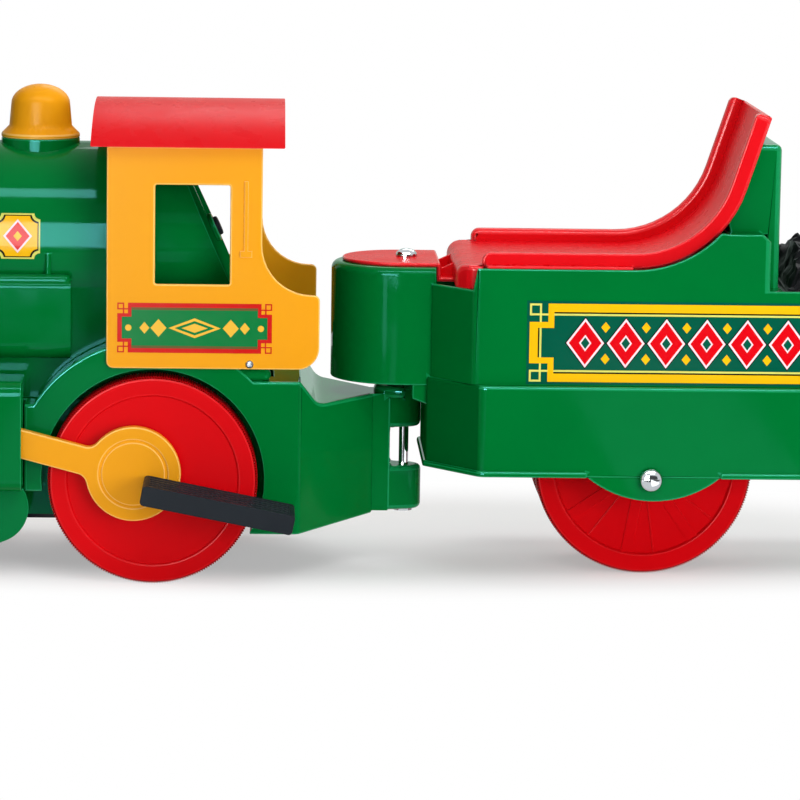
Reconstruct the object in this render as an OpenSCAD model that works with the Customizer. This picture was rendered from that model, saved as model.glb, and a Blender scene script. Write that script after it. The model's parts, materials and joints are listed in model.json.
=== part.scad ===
// Ride-on toy train: a battery locomotive and a tender with the seat, joined by a hinge pin.
// Millimetres, Z up from the floor. The hinge pin is the datum while drawing: the tender runs
// towards +X, the locomotive towards -X, and the left side of the train is -Y. At the end every
// node is shifted so that the middle of the train is at X = 0.

/* [Overall] */
// Hinge pin to the tip of the pilot
front_reach = 645; // [630:5:700]
// Hinge pin to the back of the tender
rear_reach = 545; // [530:5:600]
// Wall of the moulded shells
wall = 4; // [3:0.5:5]
// Radial play of a turning shaft
play = 0.1; // [0.05:0.05:0.2]
// Gap between pieces that move past each other
clear = 0.4; // [0.3:0.1:0.8]

/* [Drive wheels] */
// Drive axle ahead of the hinge pin
drive_x = 256; // [250:1:262]
// Drive wheel diameter
drive_d = 210; // [204:2:216]
// Drive wheel width
drive_w = 36; // [32:1:38]
// Centre line to the outer face of a drive wheel
drive_face = 140; // [138:1:146]
// Diameter of the drive axle and the tender axle
axle_d = 10; // [8:0.5:12]
// Crank throw
crank_throw = 21; // [16:1:22]
// Crank position at rest, from the rear horizontal
crank_angle = 155; // [140:5:170]
// Crank pin diameter
crank_d = 16; // [12:1:20]

/* [Connecting rods and pedals] */
// Rod thickness
rod_t = 12; // [10:1:14]
// Rod width
rod_w = 28.5; // [24:0.5:32]
// Radius of the big end
big_end_r = 47.5; // [44:0.5:50]
// Big end centre to the tip of the rod
rod_len = 146; // [138:2:152]
// Slope of the rod
rod_tilt = 14.7; // [12:0.1:16]
// Drive wheel face to rod
rod_gap = 4; // [3:0.5:6]
// Pedal length
pedal_len = 153; // [140:1:160]
// Pedal height
pedal_h = 20; // [16:1:24]
// Pedal width across the train
pedal_w = 66; // [56:1:72]
// Slope of the pedal
pedal_tilt = 11; // [8:0.5:13]

/* [Locomotive frame] */
// Half width of the inner tub
tub_half = 94; // [90:1:96]
// Half width over the mudguards
frame_half = 134; // [132:1:136]
// Outer radius of the mudguards
fender_r = 141; // [138:1:144]
// Gap between a drive wheel and its mudguard
well_gap = 6.5; // [5:0.5:8]
// Top of the deck under the boiler
deck_z = 180; // [176:1:182]
// Top of the deck behind the cab
rear_deck_z = 205; // [202:1:208]
// Lower edge of the frame behind the drive wheels
sill_z = 50; // [46:1:54]
// Underside of the tub
tub_z = 62; // [58:1:64]
// Rear corner of the frame ahead of the hinge pin
corner_x = 109; // [104:1:112]
// End of the tongue ahead of the hinge pin
tongue_x = 33; // [31:1:38]
// Half width of the tongue at its end
tongue_half = 26; // [24:1:30]
// Top of the tongue
tongue_z = 178; // [174:1:180]

/* [Hinge] */
// Hinge pin diameter
pin_d = 10; // [8:0.5:12]
// Radius of the hinge lugs
lug_r = 17; // [15:0.5:18]
// Lower lug, bottom
lug_low_z = 56; // [54:1:58]
// Lower lug, top
lug_mid_z = 102; // [98:1:106]
// Upper lug, bottom
lug_up_z = 142; // [138:1:146]
// Top of the turning pad on the tongue
pad_z = 186; // [184:1:188]
// Radius of the turning pad
pad_r = 32; // [28:1:33]
// Underside of the tender column
column_z = 194; // [192:1:197]
// Top of the tender column
column_top = 314; // [310:1:318]
// Radius of the tender column
column_r = 73; // [68:1:75]
// Centre of the column ahead of the hinge pin
column_x = 4; // [0:1:6]

/* [Boiler] */
// Height of the boiler axis
boiler_z = 335; // [330:1:338]
// Radius of the boiler
boiler_r = 98; // [94:1:100]
// Front end of the boiler ahead of the hinge pin
boiler_front = 560; // [550:5:575]
// Half width of the boiler base
base_half = 88; // [84:1:89]
// Radius of the smokebox door
door_r = 74; // [70:1:80]
// Smokestack ahead of the hinge pin
stack_x = 470; // [464:1:476]
// Steam dome ahead of the hinge pin
dome_x = 376; // [370:1:382]
// Foot of the console ahead of the hinge pin
console_x = 140; // [138:1:146]
// Lean of the console's rear face
console_lean = 24.3; // [22:0.1:26]
// Radius of the start button
button_r = 10; // [9:0.5:14]

/* [Cab] */
// Cab front ahead of the hinge pin
cab_front_x = 303; // [298:1:308]
// Rear edge of the cab arms ahead of the hinge pin
cab_rear_x = 90.5; // [88:0.5:96]
// Lower edge of the cab sides
cab_z = 218; // [214:1:220]
// Top of the cab sides
cab_top = 440; // [438:1:450]
// Height of the arms over the lower edge
arm_h = 75; // [70:1:80]
// Length of the arms behind the rear posts
arm_len = 58; // [54:1:62]
// Height of the window sill over the lower edge
sill_h = 85; // [82:1:90]
// Width of the rear posts
post_w = 32; // [28:1:36]
// Width of the front posts
front_post_w = 48; // [44:1:52]
// Thickness of the cab sides
cab_t = 4; // [3:0.5:5]
// Height of the roof's crown over the cab sides
roof_rise = 38; // [34:1:44]

/* [Front of the locomotive] */
// Front axle ahead of the hinge pin
front_x = 470; // [465:1:478]
// Front wheel diameter
front_d = 90; // [84:2:92]
// Front axle diameter
front_axle_d = 8; // [6:0.5:10]
// Rear face of the cylinder covers ahead of the hinge pin
cyl_rear = 386; // [386:0.5:388]
// Front face of the cylinder covers ahead of the hinge pin
cyl_front = 506; // [500:1:512]
// Length of the pilot ahead of the frame
pilot_len = 60; // [54:1:66]
// Half width of the pilot
pilot_half = 112; // [108:1:118]
// Space between the pilot's slats
slat_step = 25; // [22:0.5:25.5]
// Half width over the cylinder covers
cyl_half = 166; // [164:1:172]
// Underside of the cylinder covers
cyl_low = 95; // [92:1:97]
// Top of the cylinder covers
cyl_top = 206; // [202:1:210]

/* [Gear train] */
// Gear module
gear_m = 1.5; // [1.4:0.05:1.55]
// Teeth of the motor pinion
pinion_n = 12; // [11:1:13]
// Teeth of the large idler wheel
idler_n = 40; // [38:1:42]
// Teeth of the small idler wheel
idler_small_n = 14; // [13:1:15]
// Teeth of the axle gear
axle_gear_n = 46; // [44:1:47]
// Backlash on the pitch circle
backlash = 0.3; // [0.2:0.05:0.4]

/* [Tender] */
// Tender axle behind the hinge pin
tender_x = 244; // [240:1:250]
// Tender wheel diameter
tender_d = 222; // [218:2:226]
// Centre line to the outer face of a tender wheel
tender_face = 64; // [60:1:68]
// Tender wheel width
tender_w = 32; // [28:1:34]
// Half width of the skirt
skirt_half = 142; // [140:1:146]
// Half width of the upper walls
upper_half = 132; // [130:1:134]
// Half width of the tender's nose
nose_half = 76; // [74:1:86]
// Lower edge of the skirt
skirt_z = 112; // [108:1:116]
// Top of the skirt
ledge_z = 204; // [200:1:208]
// Top of the side walls
rail_z = 321; // [319:1:324]
// Top of the bunker walls
bunker_z = 301; // [298:1:304]
// Rear end of the seat walls behind the hinge pin
hump_x = 361; // [357:1:366]
// Top of the back pillar
pillar_z = 446; // [436:2:456]

/* [Seat] */
// Height of the seat's rim over the side walls
rim_h = 15; // [13:1:18]
// Start of the sweep up to the back rest
sweep_x = 225; // [220:1:230]
// Radius of the sweep, on top of the rim
sweep_r = 100; // [95:1:106]
// Angle of the back rest from the level
back_angle = 72; // [68:1:76]
// Straight length of the back rest
back_len = 78; // [70:1:86]

/* [Hidden] */
$fn = 96;
shift_x = (front_reach - rear_reach) / 2;
axle_z = drive_d / 2;
tender_z = tender_d / 2;
front_z = front_d / 2;
wheel_out = 6;
axle_in = 13;
rod_room = 6;
cover_r = 14;
pedal_root = 10;
front_in = tub_half + 5;
front_w = 34;
plate_y = front_in + front_w + 1;
plate_t = 6;
front_half = plate_y + plate_t + 1;
front_sill = cyl_low - 3;
screw_x = cab_rear_x + 69.5;
screw_z = cab_z + 5;
screw_in = 14;
bar_r = 6.5;
corner_r = 6;
screw_r = 1.2;
screw_head = 1.8;
frame_front = front_reach - pilot_len;
beam_t = 14;
beam_h = 40;
beam_z = 112;
rail_low = 24;
well_r = drive_d / 2 + well_gap;
pin_x = -drive_x + crank_throw * cos(crank_angle);
pin_z = axle_z + crank_throw * sin(crank_angle);
rod_y = max(drive_face, frame_half + wheel_out) + rod_gap;
cover_half = max(cyl_half, rod_y + rod_t + rod_room + wall);
cover_depth = drive_x + crank_throw + rod_len + 39 - cyl_rear;
tongue_k = (frame_half - tongue_half) / (corner_x - tongue_x);
pad_gap = 0.3;
slope_k = tan(console_lean);
console_z = rear_deck_z + 7;
roof_room = 2;
boiler_axis = min(boiler_z, cab_top - boiler_r - roof_room);
tank_x = cab_front_x + 37;
tank_half = base_half + 20;
tank_low = boiler_axis - 114;
tank_r = 18;
grip_z = boiler_axis - 34.5;
grip_r = 6.5;
saddle_z = boiler_axis + boiler_r + 4;
stack_r = 42;
stack_h = 108;
dome_r = 40;
dome_h = 54;
lamp_z = saddle_z + 30;
lamp_r = 28;
button_z = boiler_axis + 10;
button_x = -console_x - (button_z - console_z) * slope_k;
bezel_r = button_r + 5;
battery_l = 125;
battery_w = 100;
battery_h = 96;
idler_ang = 150;
motor_ang = 168;
idler_c = gear_m * (axle_gear_n + idler_small_n) / 2;
motor_c = gear_m * (idler_n + pinion_n) / 2;
idler_x = -drive_x + idler_c * cos(idler_ang);
idler_z = axle_z + idler_c * sin(idler_ang);
motor_x = idler_x + motor_c * cos(motor_ang);
motor_z = idler_z + motor_c * sin(motor_ang);
box_half = 22;
rim_z = rail_z + rim_h;
sweep_z = rim_z + sweep_r;
lip_w = 3.5;
lip_h = 6;
header_h = 38;
roof_t = 6;
front_low = axle_z + fender_r + 6;
light_w = 0.55 * (frame_half - boiler_r);
rib_h = 1.5;
column_edge = 8;
plate_in = 11;
skirt_nose = 20;
upper_nose = 24;
seat_half = upper_half - 12;
rim_w = 14;
rim_end = 9;
bulge_x = 46;
bulge_end = 74;
pillar_half = seat_half - 20;
pillar_t = 12;
bin_x = hump_x + pillar_t;
guard_r = 105.5;
guard_z = skirt_z - 24;
guard_in = 1;
guard_t = 5;
guard_half = sqrt(pow(guard_r, 2) - pow(guard_z + guard_r - skirt_z, 2));
dish = 4;
spokes = 8;
spoke_turn = 35;
spoke_w = 11;
spoke_h = 1.2;
coal_nx = 13;
coal_ny = 19;

green = [0.0, 0.44, 0.18];
yellow = [0.97, 0.66, 0.13];
red = [0.86, 0.03, 0.06];
black = [0.12, 0.13, 0.15];
steel = [0.75, 0.76, 0.78];
brass = [0.78, 0.62, 0.3];

// Helpers

function unit(v) = v / norm(v);
function polar(c, r, a) = c + r * [cos(a), sin(a)];
function arc(c, r, a0, a1, n) = [for (i = [0 : n]) polar(c, r, a0 + (a1 - a0) * i / n)];

// Points of one rounded corner at p between the directions a and b.
function corner(p, a, b, r, n) =
    let (half = acos(a * b) / 2,
         m = p + unit(a + b) * r / sin(half),
         s = p + a * r / tan(half) - m,
         e = p + b * r / tan(half) - m,
         t0 = atan2(s[1], s[0]),
         d = atan2(e[1], e[0]) - t0,
         turn = d > 180 ? d - 360 : d < -180 ? d + 360 : d)
    [for (k = [0 : n]) polar(m, r, t0 + turn * k / n)];

// An outline with rounded corners: each corner is [x, y, radius].
function rounded(c, n = 6) = [
    for (i = [0 : len(c) - 1])
        let (p = [c[i][0], c[i][1]],
             q = c[(i + len(c) - 1) % len(c)],
             s = c[(i + 1) % len(c)])
        each c[i][2] == 0 ? [p]
            : corner(p, unit([q[0], q[1]] - p), unit([s[0], s[1]] - p), c[i][2], n)
];

// The same outline on both sides of the centre line, from its left half.
function both(h) = concat(h, [for (i = [len(h) - 1 : -1 : 0]) [h[i][0], -h[i][1], h[i][2]]]);

module side(y0, y1) translate([0, y1, 0]) rotate([90, 0, 0]) linear_extrude(y1 - y0) children();
module plan(z0, z1) translate([0, 0, z0]) linear_extrude(z1 - z0) children();
module cross(x0, x1) translate([x0, 0, 0]) rotate([90, 0, 90]) linear_extrude(x1 - x0) children();
module right() mirror([0, 1, 0]) children();
module pair() { children(); right() children(); }
module across(x, z, y0, y1, r) translate([x, y1, z]) rotate([90, 0, 0]) cylinder(r = r, h = y1 - y0);
module along(y, z, x0, x1, r) translate([x0, y, z]) rotate([0, 90, 0]) cylinder(r = r, h = x1 - x0);
// A turned piece whose axis points to the left side, starting at height y.
module turned(x, y, z) translate([x, y, z]) rotate([90, 0, 0]) rotate_extrude() children();

// Locomotive frame

// Side view of a mudguard with its panels. The hollow is the same view, inset by the wall.
module fender_view(inset) {
    low = inset > 0 ? 30 : 0;
    difference() {
        union() {
            intersection() {
                translate([-drive_x, axle_z]) circle(r = fender_r - inset);
                translate([-cyl_rear + 1 + inset, axle_z + 15]) square([2 * fender_r, fender_r]);
            }
            translate([-drive_x, sill_z - low])
                square([drive_x - corner_x - wall - inset, rear_deck_z - inset - sill_z + low]);
            translate([-cyl_rear + 1 + inset, front_sill - low])
                square([cyl_rear - 1 - inset - drive_x, deck_z - inset - front_sill + low]);
        }
        translate([-drive_x, axle_z]) circle(r = well_r + inset);
    }
}

module fender() {
    difference() {
        union() {
            side(-frame_half, -tub_half) fender_view(0);
            side(-frame_half + 6, -frame_half + 16) translate([-screw_x - 12, rear_deck_z - 8])
                square([24, screw_z - rear_deck_z + 16]);
            along(-frame_half + bar_r + 2, rear_deck_z + bar_r, -screw_x - 30, -screw_x + 15, bar_r);
            translate([-screw_x + 15, -frame_half + bar_r + 2, rear_deck_z + bar_r]) sphere(r = bar_r);
        }
        side(-frame_half + wall, -tub_half) fender_view(wall);
        across(-screw_x, screw_z, -frame_half, -frame_half + screw_in, 2);
    }
}

module tongue() {
    w = wall * sqrt(1 + tongue_k * tongue_k);
    y_end = tongue_half + wall * tongue_k - w;
    difference() {
        intersection() {
            plan(sill_z - 20, rear_deck_z + 20)
                polygon(rounded(both([
                    [-corner_x - wall - 1, -frame_half, 0], [-corner_x, -frame_half, corner_r],
                    [-tongue_x, -tongue_half, corner_r + 4]])));
            side(-frame_half - 1, frame_half + 1)
                polygon(rounded([
                    [-corner_x - wall - 1, sill_z, 0], [-tongue_x, sill_z + 4, 0],
                    [-tongue_x, tongue_z, 0], [-corner_x + 19, tongue_z, 14],
                    [-corner_x, rear_deck_z, 4], [-corner_x - wall - 1, rear_deck_z, 0]]));
        }
        intersection() {
            plan(sill_z - 20, rear_deck_z)
                polygon([[-corner_x, -frame_half + w], [-tongue_x - wall, -y_end],
                         [-tongue_x - wall, y_end], [-corner_x, frame_half - w]]);
            side(-frame_half, frame_half)
                polygon([[-corner_x, sill_z - 20], [-tongue_x - wall, sill_z - 20],
                         [-tongue_x - wall, tongue_z - wall],
                         [-corner_x + 15, tongue_z - wall],
                         [-corner_x, rear_deck_z - 8]]);
        }
    }
}

module lug(z0, z1, r) {
    plan(z0, z1) union() {
        circle(r = r);
        polygon([[-22, -24], [r * cos(75), -r * sin(75)], [r * cos(75), r * sin(75)], [-22, 24]]);
    }
}

module loco_frame() color(green) difference() {
    union() {
        difference() {
            side(-tub_half, tub_half)
                polygon([[-frame_front, tub_z], [-frame_front, deck_z],
                         [-console_x + 4, deck_z], [-console_x + 4, rear_deck_z],
                         [-corner_x, rear_deck_z], [-corner_x, tub_z]]);
            side(-tub_half + wall, tub_half - wall)
                polygon([[-frame_front + wall, tub_z - 5],
                         [-frame_front + wall, deck_z - wall],
                         [-console_x + 8, deck_z - wall],
                         [-console_x + 8, rear_deck_z - wall],
                         [-corner_x - wall, rear_deck_z - wall],
                         [-corner_x - wall, tub_z - 5]]);
        }
        pair() fender();
        tongue();
        translate([-tongue_x - wall, -24, sill_z + 6])
            cube([tongue_x + wall - 15, 48, tongue_z - sill_z - 6]);
        lug(lug_low_z, lug_mid_z, lug_r + 1);
        lug(lug_up_z, pad_z, lug_r);
        plan(tongue_z - wall, pad_z) intersection() {
            circle(r = pad_r);
            translate([-pad_r - 1, -pad_r - 1]) square([pad_r + 1, 2 * pad_r + 2]);
        }
    }
    translate([0, 0, lug_low_z - 10]) cylinder(r = pin_d / 2, h = pad_z - lug_low_z + 20);
    across(-drive_x, axle_z, -tub_half - 3, tub_half + 3, axle_d / 2 + 5);
}

// The places of the floor screws, on the underside of the floor plate.
module at_screws()
    for (x = [-frame_front + 50, -cyl_rear - 34, -screw_x], y = [-tub_half + 2, tub_half - 2])
        translate([x, y, tub_z - wall]) children();

module floor_plate() color(black) difference() {
    plan(tub_z - wall, tub_z) polygon(rounded([
        [-frame_front, -tub_half, 4], [-corner_x - wall - 1 - clear, -tub_half, 4],
        [-corner_x - wall - 1 - clear, tub_half, 4], [-frame_front, tub_half, 4]]));
    at_screws() translate([0, 0, -1]) cylinder(r = screw_r, h = wall + 2);
}

module floor_screws() color(steel) at_screws() {
    translate([0, 0, -screw_head]) cylinder(r = screw_r + 2, h = screw_head);
    translate([0, 0, -screw_head]) cylinder(r = screw_r, h = wall + screw_head);
}

// Boiler shell with the console

module boiler_section(inset) {
    translate([0, boiler_axis]) circle(r = boiler_r - inset);
    translate([-base_half + inset, deck_z - (inset > 0 ? 10 : 0)])
        square([2 * (base_half - inset), boiler_axis - deck_z + (inset > 0 ? 10 : 0)]);
}

module boiler_view(inset) {
    s = inset / cos(console_lean);
    top = boiler_axis + boiler_r + 10;
    polygon([[-boiler_front + inset, deck_z - 20], [-boiler_front + inset, top],
             [-console_x - (top - console_z) * slope_k - s, top],
             [-console_x - inset, console_z + (inset - s) / slope_k],
             [-console_x - inset, deck_z - 20]]);
}

module on_console() translate([button_x, 0, button_z]) rotate([0, 90 - console_lean, 0]) children();

module boiler_shell() color(green) difference() {
    union() {
        difference() {
            intersection() {
                cross(-boiler_front - 1, -console_x + 1) boiler_section(0);
                side(-boiler_r - 5, boiler_r + 5) boiler_view(0);
            }
            intersection() {
                cross(-boiler_front - 1, -console_x + 1) boiler_section(wall);
                side(-boiler_r - 5, boiler_r + 5) boiler_view(wall);
            }
        }
        pair() {
            cross(-boiler_front + 15, -tank_x) polygon(rounded([
                [-base_half + 2, grip_z, 0], [-base_half + 2, tank_low, 0],
                [-tank_half, tank_low, tank_r], [-tank_half, grip_z, grip_r]]));
            along(-boiler_r, grip_z, -boiler_front + 15, -tank_x - 6, grip_r);
            translate([-tank_x - 6, -boiler_r, grip_z]) sphere(r = grip_r);
            for (i = [0 : 3])
                translate([-tank_x - 23 - 60 * i, -boiler_r + 1, grip_z]) cylinder(r = 3, h = 28);
        }
        translate([-stack_x, 0, saddle_z - 16]) cylinder(r = stack_r, h = 16);
        translate([-dome_x, 0, saddle_z - 16]) cylinder(r = dome_r, h = 16);
        translate([-boiler_front, -20, saddle_z - 16]) cube([40, 40, 16]);
    }
    on_console() translate([0, 0, -8]) cylinder(r = button_r + 0.5, h = 16);
}

module smokebox_front() color(black)
    translate([-boiler_front, 0, boiler_axis]) rotate([0, -90, 0]) rotate_extrude() polygon([
        [door_r, 0], [boiler_r + 1, 0], [boiler_r + 1, 9], [boiler_r - 4, 14], [door_r, 14]]);

module smokebox_door() color(yellow)
    translate([-boiler_front, 0, boiler_axis]) rotate([0, -90, 0]) rotate_extrude() polygon(concat(
        [[0, 4], [door_r, 4], [door_r, 14], [door_r - 4, 18], [door_r - 12, 18]],
        [for (a = [0 : 10 : 80]) [(door_r - 14) * cos(a), 18 + 10 * sin(a)]], [[0, 28]]));

module headlight() color(yellow) {
    x = -boiler_front;
    difference() {
        union() {
            translate([x + 3, -12, saddle_z]) cube([34, 24, 12]);
            along(0, lamp_z, x - 14, x + 36, lamp_r);
        }
        along(0, lamp_z, x - 15, x + 10, lamp_r - 5);
    }
}

module headlight_lens() color(steel)
    translate([-boiler_front + 10 - clear, 0, lamp_z]) rotate([0, -90, 0])
        let (r = lamp_r - 5 - clear) rotate_extrude() polygon(concat([[0, 0], [r, 0], [r, 14]],
            [for (a = [15 : 15 : 75]) [r * cos(a), 14 + 7 * sin(a)]], [[0, 21]]));

module smokestack() color(black)
    translate([-stack_x, 0, saddle_z]) let (r = stack_r, h = stack_h) rotate_extrude() polygon([
        [0.57 * r, 0], [r, 0], [r, 0.04 * h], [0.79 * r, 0.17 * h], [0.71 * r, 0.56 * h],
        [r, 0.8 * h], [r, 0.96 * h], [0.9 * r, h], [0.86 * r, h], [0.86 * r, 0.81 * h],
        [0.57 * r, 0.56 * h]]);

module steam_dome() color(yellow)
    translate([-dome_x, 0, saddle_z]) let (r = dome_r, h = dome_h) rotate_extrude() polygon(concat(
        [[0, 0], [r, 0], [r, 0.07 * h], [0.8 * r, 0.22 * h]],
        [for (a = [0 : 10 : 80]) [0.75 * r * cos(a), (0.63 + 0.37 * sin(a)) * h]], [[0, h]]));

// Front: pilot, cylinder covers, front axle

// Front edge of the pilot's lower rail at the distance y from the centre line.
function rail_x(y) = let (k = (pilot_len - 16) / (pilot_half - 6))
    -front_reach + k * max(abs(y) - 6, 0);

module pilot() color(red) {
    x0 = -frame_front;
    translate([x0 - beam_t, -pilot_half, beam_z]) cube([beam_t, 2 * pilot_half, beam_h]);
    plan(rail_low, rail_low + 12) polygon([
        [rail_x(pilot_half), -pilot_half], [rail_x(0), -6], [rail_x(0), 6],
        [rail_x(pilot_half), pilot_half], [rail_x(pilot_half) + beam_t, pilot_half],
        [rail_x(0) + beam_t, 6], [rail_x(0) + beam_t, -6], [rail_x(pilot_half) + beam_t, -pilot_half]]);
    for (i = [-4 : 4]) let (y = i * slat_step, xb = rail_x(y) + beam_t / 2)
        side(y - 4, y + 4) polygon([
            [x0 - beam_t + 3, beam_z + 6], [xb - 3, rail_low + 6], [xb + 4, rail_low + 6],
            [x0 - 3, beam_z + 6]]);
}

module cylinder_left() color(green) difference() {
    union() {
        cross(-cyl_front, -cyl_rear) polygon(rounded([
            [-tub_half, cyl_low, 0], [-cover_half, cyl_low, cover_r], [-cover_half, cyl_top, cover_r],
            [-tub_half - wall, cyl_top, 4], [-tub_half - wall, deck_z + 6, 0],
            [-tub_half, deck_z + 4, 0]]));
        side(-plate_y - plate_t, -plate_y) hull() {
            translate([-front_x + 54, front_z + 31]) circle(r = 36);
            translate([-front_x, front_z]) circle(r = front_d / 2 - 18);
        }
    }
    cross(-cyl_rear - cover_depth, -cyl_rear + 1) polygon(rounded([
        [-rod_y + rod_room, cyl_low + wall, 4], [-cover_half + wall, cyl_low + wall, cover_r - wall],
        [-cover_half + wall, cyl_top - wall, cover_r - wall], [-rod_y + rod_room, cyl_top - wall, 4]]));
    across(-front_x, front_z, -plate_y - plate_t - 10, -front_in, front_axle_d / 2);
}

module cylinder_right() right() cylinder_left();

module front_axle() color(steel) {
    across(-front_x, front_z, -front_half, front_half, front_axle_d / 2);
    across(-front_x, front_z, -front_in + 1, front_in - 1, front_axle_d / 2 + 3);
}

module front_wheel_left() color(red) let (r = front_d / 2, b = front_axle_d / 2 + play, h = front_w)
    turned(-front_x, -front_in, front_z) polygon([
        [b, 0], [14, 0], [14, 20], [r - 6, 20], [r - 6, 4], [r, 4], [r, h - 4], [r - 3, h - 1],
        [r - 8, h - 1], [r - 10, h - 8], [14, h - 8], [14, h], [b, h]]);

module front_wheel_right() right() front_wheel_left();

// A chrome push-on cap for a shaft of radius r.
module cap(r) rotate_extrude() polygon(concat(
    [[0, 0], [r + 6, 0], [r + 6, 1.5]],
    [for (a = [10 : 16 : 74]) [(r + 6) * cos(a), 1.5 + 6.5 * sin(a)]], [[0, 8]]));

module front_caps() color(steel) pair()
    translate([-front_x, -front_half, front_z]) rotate([90, 0, 0]) cap(front_axle_d / 2);

// Cab

module cab_view() difference() {
    post_x = -cab_rear_x - arm_len;
    polygon(rounded([
        [-cab_front_x, cab_z, 7], [-cab_rear_x, cab_z, 22], [-cab_rear_x, cab_z + arm_h, 6],
        [post_x, cab_z + arm_h, 50], [post_x, cab_top, 0], [-cab_front_x, cab_top, 0]], 10));
    polygon(rounded([
        [-cab_front_x + front_post_w, cab_z + sill_h, 2], [post_x - post_w, cab_z + sill_h, 2],
        [post_x - post_w, cab_top - header_h, 2],
        [-cab_front_x + front_post_w, cab_top - header_h, 2]]));
    translate([-screw_x, screw_z]) circle(r = 2);
}

module cab_left() color(yellow) {
    side(-frame_half - cab_t, -frame_half) cab_view();
    side(-frame_half - cab_t - rib_h, -frame_half - cab_t + 1)
        translate([-cab_rear_x - arm_len - post_w / 2, cab_z + sill_h + 27.5]) {
            translate([-6, 0]) square([12, 6.5]);
            translate([-2, 6]) square([4, 70]);
        }
}

module cab_right() right() cab_left();

// Underside of the roof, as points from left to right.
function roof_under() = roof_line(frame_half - 4, roof_rise - roof_t);

// Top of the roof, back from right to left.
function roof_over() = let (p = roof_line(frame_half + 16, roof_rise))
    [for (i = [len(p) - 1 : -1 : 0]) p[i]];

// An arch of the half width w and the rise h over the cab sides.
function roof_line(w, h) = let (r = (w * w + h * h) / (2 * h), a = asin(w / r))
    arc([0, cab_top + h - r], r, 90 + a, 90 - a, 24);

module cab_front() color(yellow) difference() {
    cross(-cab_front_x, -cab_front_x + wall) polygon(concat(
        [[-frame_half, front_low], [-frame_half, cab_top]], roof_under(),
        [[frame_half, cab_top], [frame_half, front_low]]));
    cross(-cab_front_x - 1, -cab_front_x + wall + 1) {
        boiler_section(0);
        for (s = [-1, 1]) translate([s * (boiler_r + frame_half) / 2 - light_w / 2, cab_top - 62])
            square([light_w, 44]);
    }
}

module cab_roof() color(red) difference() {
    cross(-cab_front_x - 16, -cab_rear_x - arm_len + 22) polygon(concat(roof_under(), roof_over()));
    cross(-boiler_front, -console_x) boiler_section(-clear);
}

module cab_screws() color(steel) pair()
    translate([-screw_x, -frame_half - cab_t, screw_z]) rotate([90, 0, 0]) {
        rotate_extrude() polygon([[0, 0], [4, 0], [3.4, 1.6], [2, 2.4], [0, 2.6]]);
        translate([0, 0, -cab_t - screw_in]) cylinder(r = 2, h = cab_t + screw_in + 1);
    }

// Console

module button_bezel() color(green) on_console() difference() {
    cylinder(r = bezel_r, h = 5);
    translate([0, 0, -1]) cylinder(r = button_r + 0.5, h = 7);
}

module start_button() color(black) on_console() {
    translate([0, 0, -8]) cylinder(r = button_r, h = 17);
    translate([0, 0, -8]) cylinder(r = button_r + 3, h = 8 - wall - clear);
}

module start_switch() color(black) on_console() {
    translate([-10, -button_r - 14, -26]) cube([20, 2 * button_r + 28, 12]);
    for (y = [-button_r - 14, button_r + 7]) translate([-10, y, -15]) cube([20, 7, 15 - wall]);
}

// Drive: battery, motor, gears, wheels

module battery() color(black) {
    x0 = -boiler_front + 60;
    translate([x0, -battery_w / 2, deck_z]) cube([battery_l, battery_w, battery_h]);
    for (y = [-battery_w / 4, battery_w / 4])
        translate([x0 + battery_l - 15, y - 3, deck_z + battery_h - 1]) cube([1, 6, 8]);
}

// One involute gear: m module, n teeth, t thinning on the pitch circle, pressure angle 20.
function flank(rb, r) = r <= rb ? 0 : let (u = sqrt(r * r / (rb * rb) - 1)) u * 180 / PI - atan(u);
function gear_points(m, n, t) =
    let (o = [0, 0], rp = m * n / 2, rb = rp * cos(20), ra = rp + m, rf = rp - 1.25 * m,
         half = 90 / n - t / rp * 90 / PI + flank(rb, rp), r0 = max(rb, rf + 0.2 * m),
         root = half + 0.25 * 90 / n, radii = [for (i = [0 : 4]) r0 + (ra - r0) * i / 4])
    [for (k = [0 : n - 1]) let (c = k * 360 / n)
        each concat([polar(o, rf, c - root)],
            [for (i = [0 : 4]) polar(o, radii[i], c - half + flank(rb, radii[i]))],
            [for (i = [4 : -1 : 0]) polar(o, radii[i], c + half - flank(rb, radii[i]))],
            [polar(o, rf, c + root)])];

// A gear across the train between y0 and y1, turned by a degrees.
module gear(n, y0, y1, a) side(y0, y1) rotate(a) polygon(gear_points(gear_m, n, backlash / 2));

module axle_gear() color(steel) translate([-drive_x, 0, axle_z]) difference() {
    union() {
        gear(axle_gear_n, 1, 11, idler_ang);
        across(0, 0, -14, 14, 11);
    }
    across(0, 0, -15, 15, axle_d / 2);
}

module idler_gear() color(brass) translate([idler_x, 0, idler_z]) difference() {
    union() {
        gear(idler_n, -11, -2, motor_ang);
        gear(idler_small_n, -3, 12, idler_ang + 180 + 180 / idler_small_n);
        across(0, 0, -16, 16, 5);
    }
    across(0, 0, -17, 17, 2.5 + play);
}

module idler_pin() color(steel) translate([idler_x, 0, idler_z]) across(0, 0, -box_half, box_half, 2.5);

module motor_pinion() color(steel) translate([motor_x, 0, motor_z]) {
    gear(pinion_n, -11, -2, motor_ang + 180 + 180 / pinion_n);
    across(0, 0, -14, 30, 2);
}

module motor() color(steel) translate([motor_x, 0, motor_z]) difference() {
    union() {
        across(0, 0, box_half + 4, box_half + 56, 18);
        across(0, 0, box_half, box_half + 6, 8);
        across(0, 0, box_half + 55, box_half + 60, 6);
    }
    across(0, 0, box_half - 1, box_half + 12, 2 + play);
}

module box_view(inset) hull() {
    translate([-drive_x, axle_z]) circle(r = gear_m * (axle_gear_n + 2) / 2 + 6 - inset);
    translate([idler_x, idler_z]) circle(r = gear_m * (idler_n + 2) / 2 + 6 - inset);
    translate([motor_x, motor_z]) circle(r = 17 - inset);
}

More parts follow.
